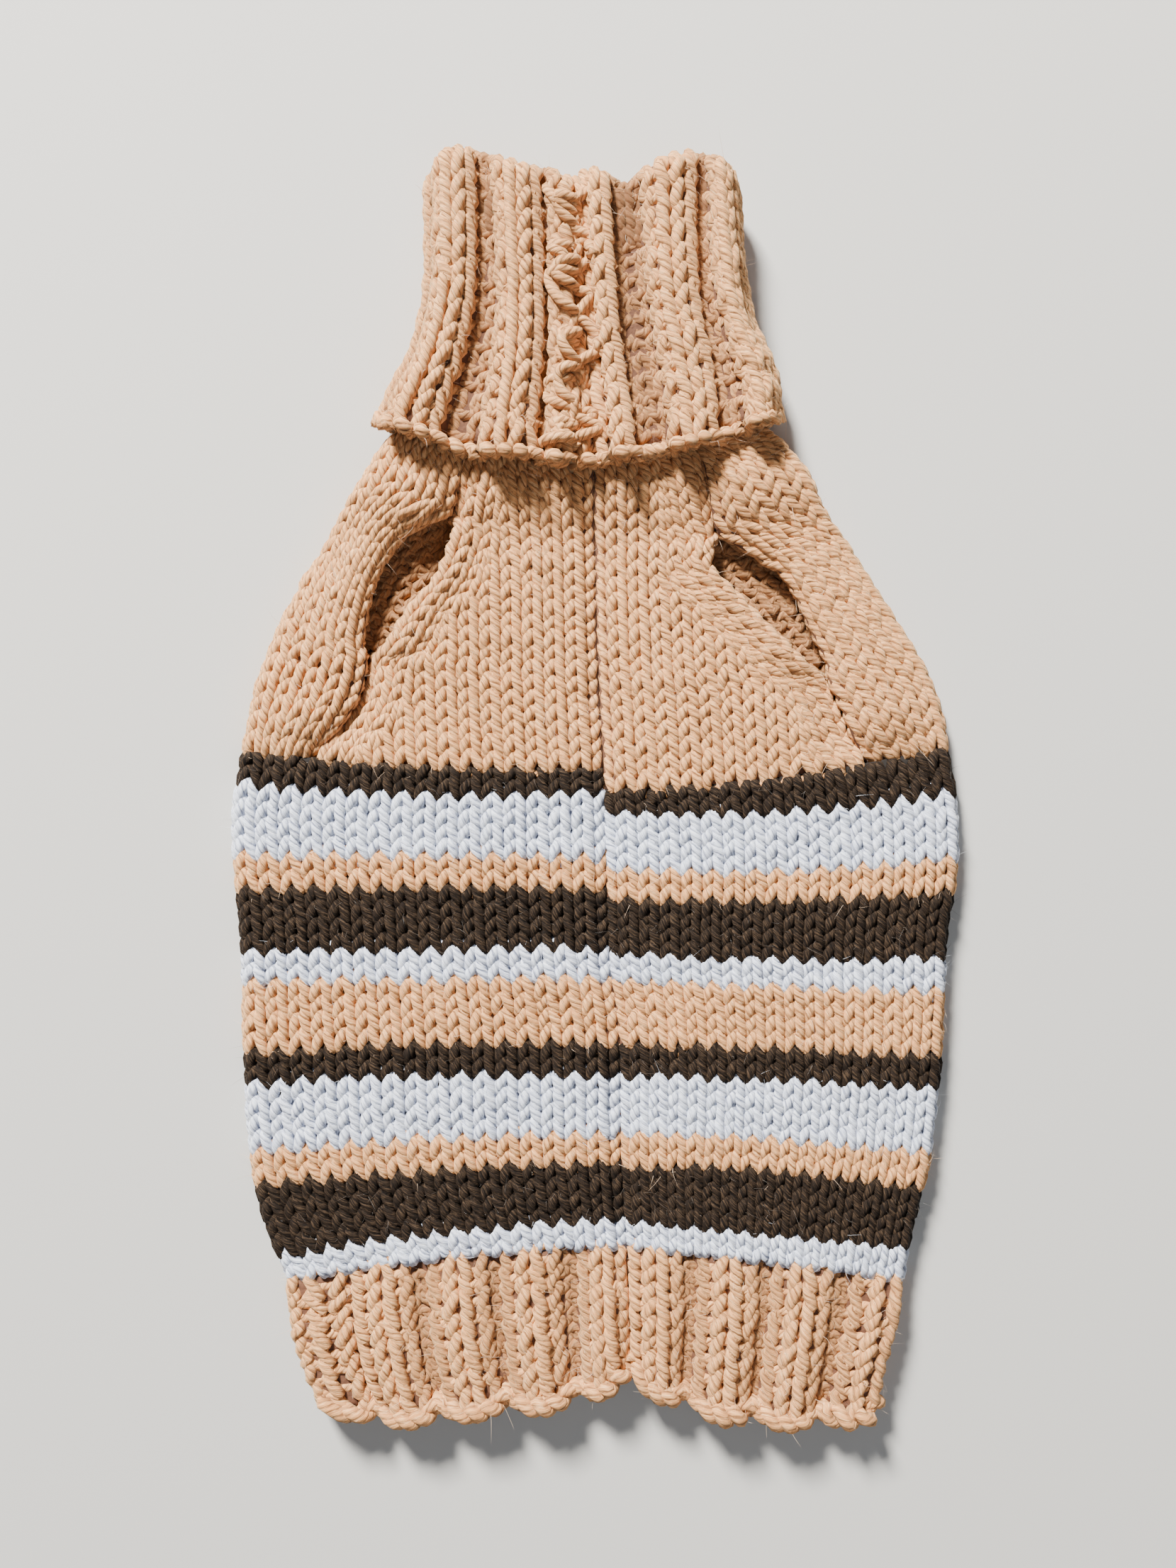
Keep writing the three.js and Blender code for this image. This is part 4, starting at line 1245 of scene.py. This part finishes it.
# %% Fuzz of each colour
HAIR = {
    "peach": hair_material("peach_fuzz", (0.80, 0.52, 0.33), (0.98, 0.80, 0.62)),
    "white": hair_material("white_fuzz", (0.78, 0.82, 0.92), (0.98, 0.98, 1.0)),
    "dark": hair_material("dark_fuzz", (0.03, 0.02, 0.014), (0.11, 0.075, 0.05)),
}
HAIR_COUNTS = {"peach": 6600, "white": 1600, "dark": 2400}
peach_pieces = [hem_yarn, cast_on, band_yarn, collar_yarn, cast_off, *chest_yarns]
by_colour = {"peach": peach_pieces, "white": [], "dark": []}
for yarn, (_, _, colour) in zip(stripe_yarns, STRIPES):
    by_colour[colour].append(yarn)
for colour, count in HAIR_COUNTS.items():
    hairs(by_colour[colour], colour, count)

# %% [markdown]
# ## Cloth behind the yarn
# Real loops are squeezed until hardly any light comes through. Round tubes leave small gaps, so a thin
# sheet lies in the middle of the cloth, between the loops, in a dark painted shade of the yarn's colour.
# It also stands for the cloth itself: its area is the cloth's own.

# %% A thin sheet in the middle of a cloth
SHEET = 1.0
# Painted shade: each sheet is a dark shade of its yarn, as the depth between loops looks.
SHEET_PAINTED_SHADES = {"peach": (0.20, 0.085, 0.045), "white": (0.30, 0.33, 0.43), "dark": (0.012, 0.008, 0.006)}


def sheet_material(name):
    """The sheet's own row colours, mottled by a fine grain: painted shade, as dark as the depth between
    loops.
    """
    finish = Finish(name)
    colour = finish.node("VertexColor", layer_name="Yarn")["Color"]
    place = finish.node("TexCoord")["Object"]
    grain = finish.node("TexNoise", {"Vector": place, "Scale": 900.0, "Detail": 4.0})["Fac"]
    darker = finish.blend(0.7, colour, grain, blend_type="MULTIPLY")
    bump = finish.node("Bump", {"Distance": 0.3 * MM, "Height": grain})[0]
    return finish.shade({"Base Color": darker, "Normal": bump, "Roughness": 0.95})


BACKING = sheet_material("yarn_behind")


def outward(points, faces):
    """Turns a closed mesh's faces outward: its volume, summed over the faces, must not be negative."""
    a, b, c, d = (points[faces[:, k]] for k in range(4))
    volume = (np.cross(b - a, c - a) * (a + b + c)).sum() + (np.cross(c - a, d - a) * (a + c + d)).sum()
    return faces[:, ::-1] if volume < 0 else faces


def cloth_sheet(name, node, surface, across, rows, colours=None, facing=1.0):
    """A closed sheet round the middle of a cloth's wall, which stands for a solid.

    colours names the yarn of each row. Without it, all rows are peach.
    """
    place, row = np.meshgrid(across, rows, indexing="xy")
    wall = []
    for off in (SHEET / 2, -SHEET / 2):
        points, _ = lay(surface, place, row, np.full(place.shape, off), facing)
        wall.append(points.reshape(-1, 3))
    high, wide = place.shape
    index = np.arange(high * wide).reshape(high, wide)
    front = np.stack([index[:-1, :-1], index[:-1, 1:], index[1:, 1:], index[1:, :-1]], -1).reshape(-1, 4)
    behind = front[:, ::-1] + high * wide
    rim = np.concatenate([index[0], index[1:, -1], index[-1, -2::-1], index[-2:0:-1, 0]])
    following = np.roll(rim, -1)
    sides = np.stack([following, rim, rim + high * wide, following + high * wide], -1)
    points = laid(np.concatenate(wall))
    faces = outward(points, np.concatenate([front, behind, sides]))
    piece = show_mesh(name, points, faces.tolist(), BACKING)
    tints = np.array([(*SHEET_PAINTED_SHADES[colour], 1.0) for colour in colours or ["peach"] * len(rows)])
    # Each row's painted shade colour goes to the sheet as a colour attribute.
    shade = piece.data.color_attributes.new("Yarn", "FLOAT_COLOR", "POINT")
    shade.data.foreach_set("color", np.tile(np.repeat(tints, wide, axis=0), (2, 1)).ravel())
    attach(piece, "root")
    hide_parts(node)
    area = sum(face.area for face in piece.data.polygons) / 2
    print(name, "area", round(area, 4), "m2")
    return piece


# %% [markdown]
# ## The sheets
# Each solid has one sheet, made of the same function as its stitches, so it lies between them wherever
# they go. A shrunken copy of the solid would come through the sunk stitches. The body's rows take painted
# shades of the yarns' colours, so that no light line shows through between dark stitches.

# %% The sheets
STEPS_ROUND = (17, 9, 13, 9, 17)
AROUND = np.unique(np.concatenate([np.linspace(k, k + 1, steps) for k, steps in enumerate(STEPS_ROUND)]))
RIBS_AROUND = np.linspace(0, 5, 141)
CHEST_OUT = np.linspace(0, 0.985, 25)
BODY_UP = np.arange(0, BODY_ROWS + 0.01, 0.5)
YOKE_UP = np.linspace(0, YOKE_ROWS, 43)
HEM_UP = np.linspace(0.2, HEM_ROWS, 21)
COLLAR_UP = np.concatenate([np.linspace(0.2, 13, 20), np.linspace(13.15, 14.2, 8), np.linspace(15, 27, 11)])

row_colours = [colour for _, count, colour in STRIPES for _ in range(count)]
body_colours = [row_colours[int(min(row, BODY_ROWS - 1))] for row in BODY_UP]
body_sheet = cloth_sheet(
    "body_cloth", "body_stripes", striped_body, AROUND, BODY_UP, body_colours)
hem_sheet = cloth_sheet("hem_cloth", "hem_rib", hem, RIBS_AROUND, HEM_UP)
back_sheet = cloth_sheet("back_cloth", "back_yoke", back, AROUND, YOKE_UP)
chest_sheets = [
    cloth_sheet(f"chest_{half}_cloth", f"chest_{half}", chest(half), CHEST_OUT, YOKE_UP, facing=facing)
    for half, facing in FACING.items()
]
collar_sheet = cloth_sheet("collar_cloth", "collar", collar, RIBS_AROUND, COLLAR_UP)

# %% [markdown]
# ## Counting the sheets
# A laid garment's cut is known from its gauge. Each sheet printed its area as it was made, which
# matters most for the slanted chest panels. This cell only counts the sheets.

# %% Counting the sheets
print("declared", 4 + len(chest_sheets), "sheets")

# %% [markdown]
# ## The floor
# The sweater lies on a plain pale floor. It reaches far past the picture, so that from low angles it ends
# in a distant horizon and not in a near edge. It lies a fifth of a millimetre under the yarn, so that the
# two never flicker.

# %% The floor
FLOOR_REACH, FLOOR_UNDER = 30.0, 0.0002
corners = [(-1, -1), (1, -1), (1, 1), (-1, 1)]
floor_points = np.array([(x * FLOOR_REACH, y * FLOOR_REACH, -FLOOR_UNDER) for x, y in corners])
pale = Finish("floor_pale").shade({"Base Color": (0.62, 0.61, 0.59), "Roughness": 0.9})
show_mesh("floor", floor_points, [(0, 1, 2, 3)], pale)
print("floor", 2 * FLOOR_REACH, "m wide")

# %% [markdown]
# ## The lights
# The light is soft daylight from the top of the picture and a little from the left, so each stitch has a
# lit side and a shaded one. A light straight from above would be more even and the stitches would go
# flat. A weak second light and a dim sky keep the shadows open.

# %% The lights
def soft_light(name, place, aim, size, power, colour):
    """A square area light at a place, turned toward its aim."""
    data = bpy.data.lights.new(name, "AREA")
    data.size, data.energy, data.color = size, power, colour
    light = bpy.data.objects.new(name, data)
    light.location = place
    toward = np.array(aim) - np.array(place)
    yaw = math.atan2(toward[1], toward[0])
    tip = math.acos(-toward[2] / np.linalg.norm(toward))
    light.rotation_euler = (0, -tip, yaw)
    bpy.context.collection.objects.link(light)
    print(name, power, "W,", round(float(np.linalg.norm(toward)), 2), "m away")


soft_light("window", (-1.0, 2.2, 1.5), (0, -0.05, 0), 0.55, 385, (1.0, 0.97, 0.91))
soft_light("fill", (0.5, -1.3, 1.3), (0, -0.1, 0), 1.2, 9, (0.95, 0.97, 1.0))
world = bpy.data.worlds.new("sky")
bpy.context.scene.world = world
world.use_nodes = True
world.node_tree.nodes["Background"].inputs["Color"].default_value = (0.86, 0.92, 1.0, 1)
world.node_tree.nodes["Background"].inputs["Strength"].default_value = 0.12

# %% [markdown]
# ## The camera
# The camera looks straight down from about 40 cm, as a phone does, and so its lens is wide. A long lens
# from far away would show the same outline, but the thick collar would lose its slight swell.

# %% The camera
CAMERA_OVER = (-2.6, 1.5, 417.0)
camera_data = bpy.data.cameras.new("phone")
camera_data.lens, camera_data.sensor_width = 27.0, 36.0
camera_data.sensor_fit = "AUTO"
camera = bpy.data.objects.new("phone", camera_data)
camera.location = tuple((np.array(CAMERA_OVER) - LAY_CENTRE) * MM)
bpy.context.collection.objects.link(camera)
bpy.context.scene.camera = camera
print("camera", CAMERA_OVER[2], "mm over the surface")
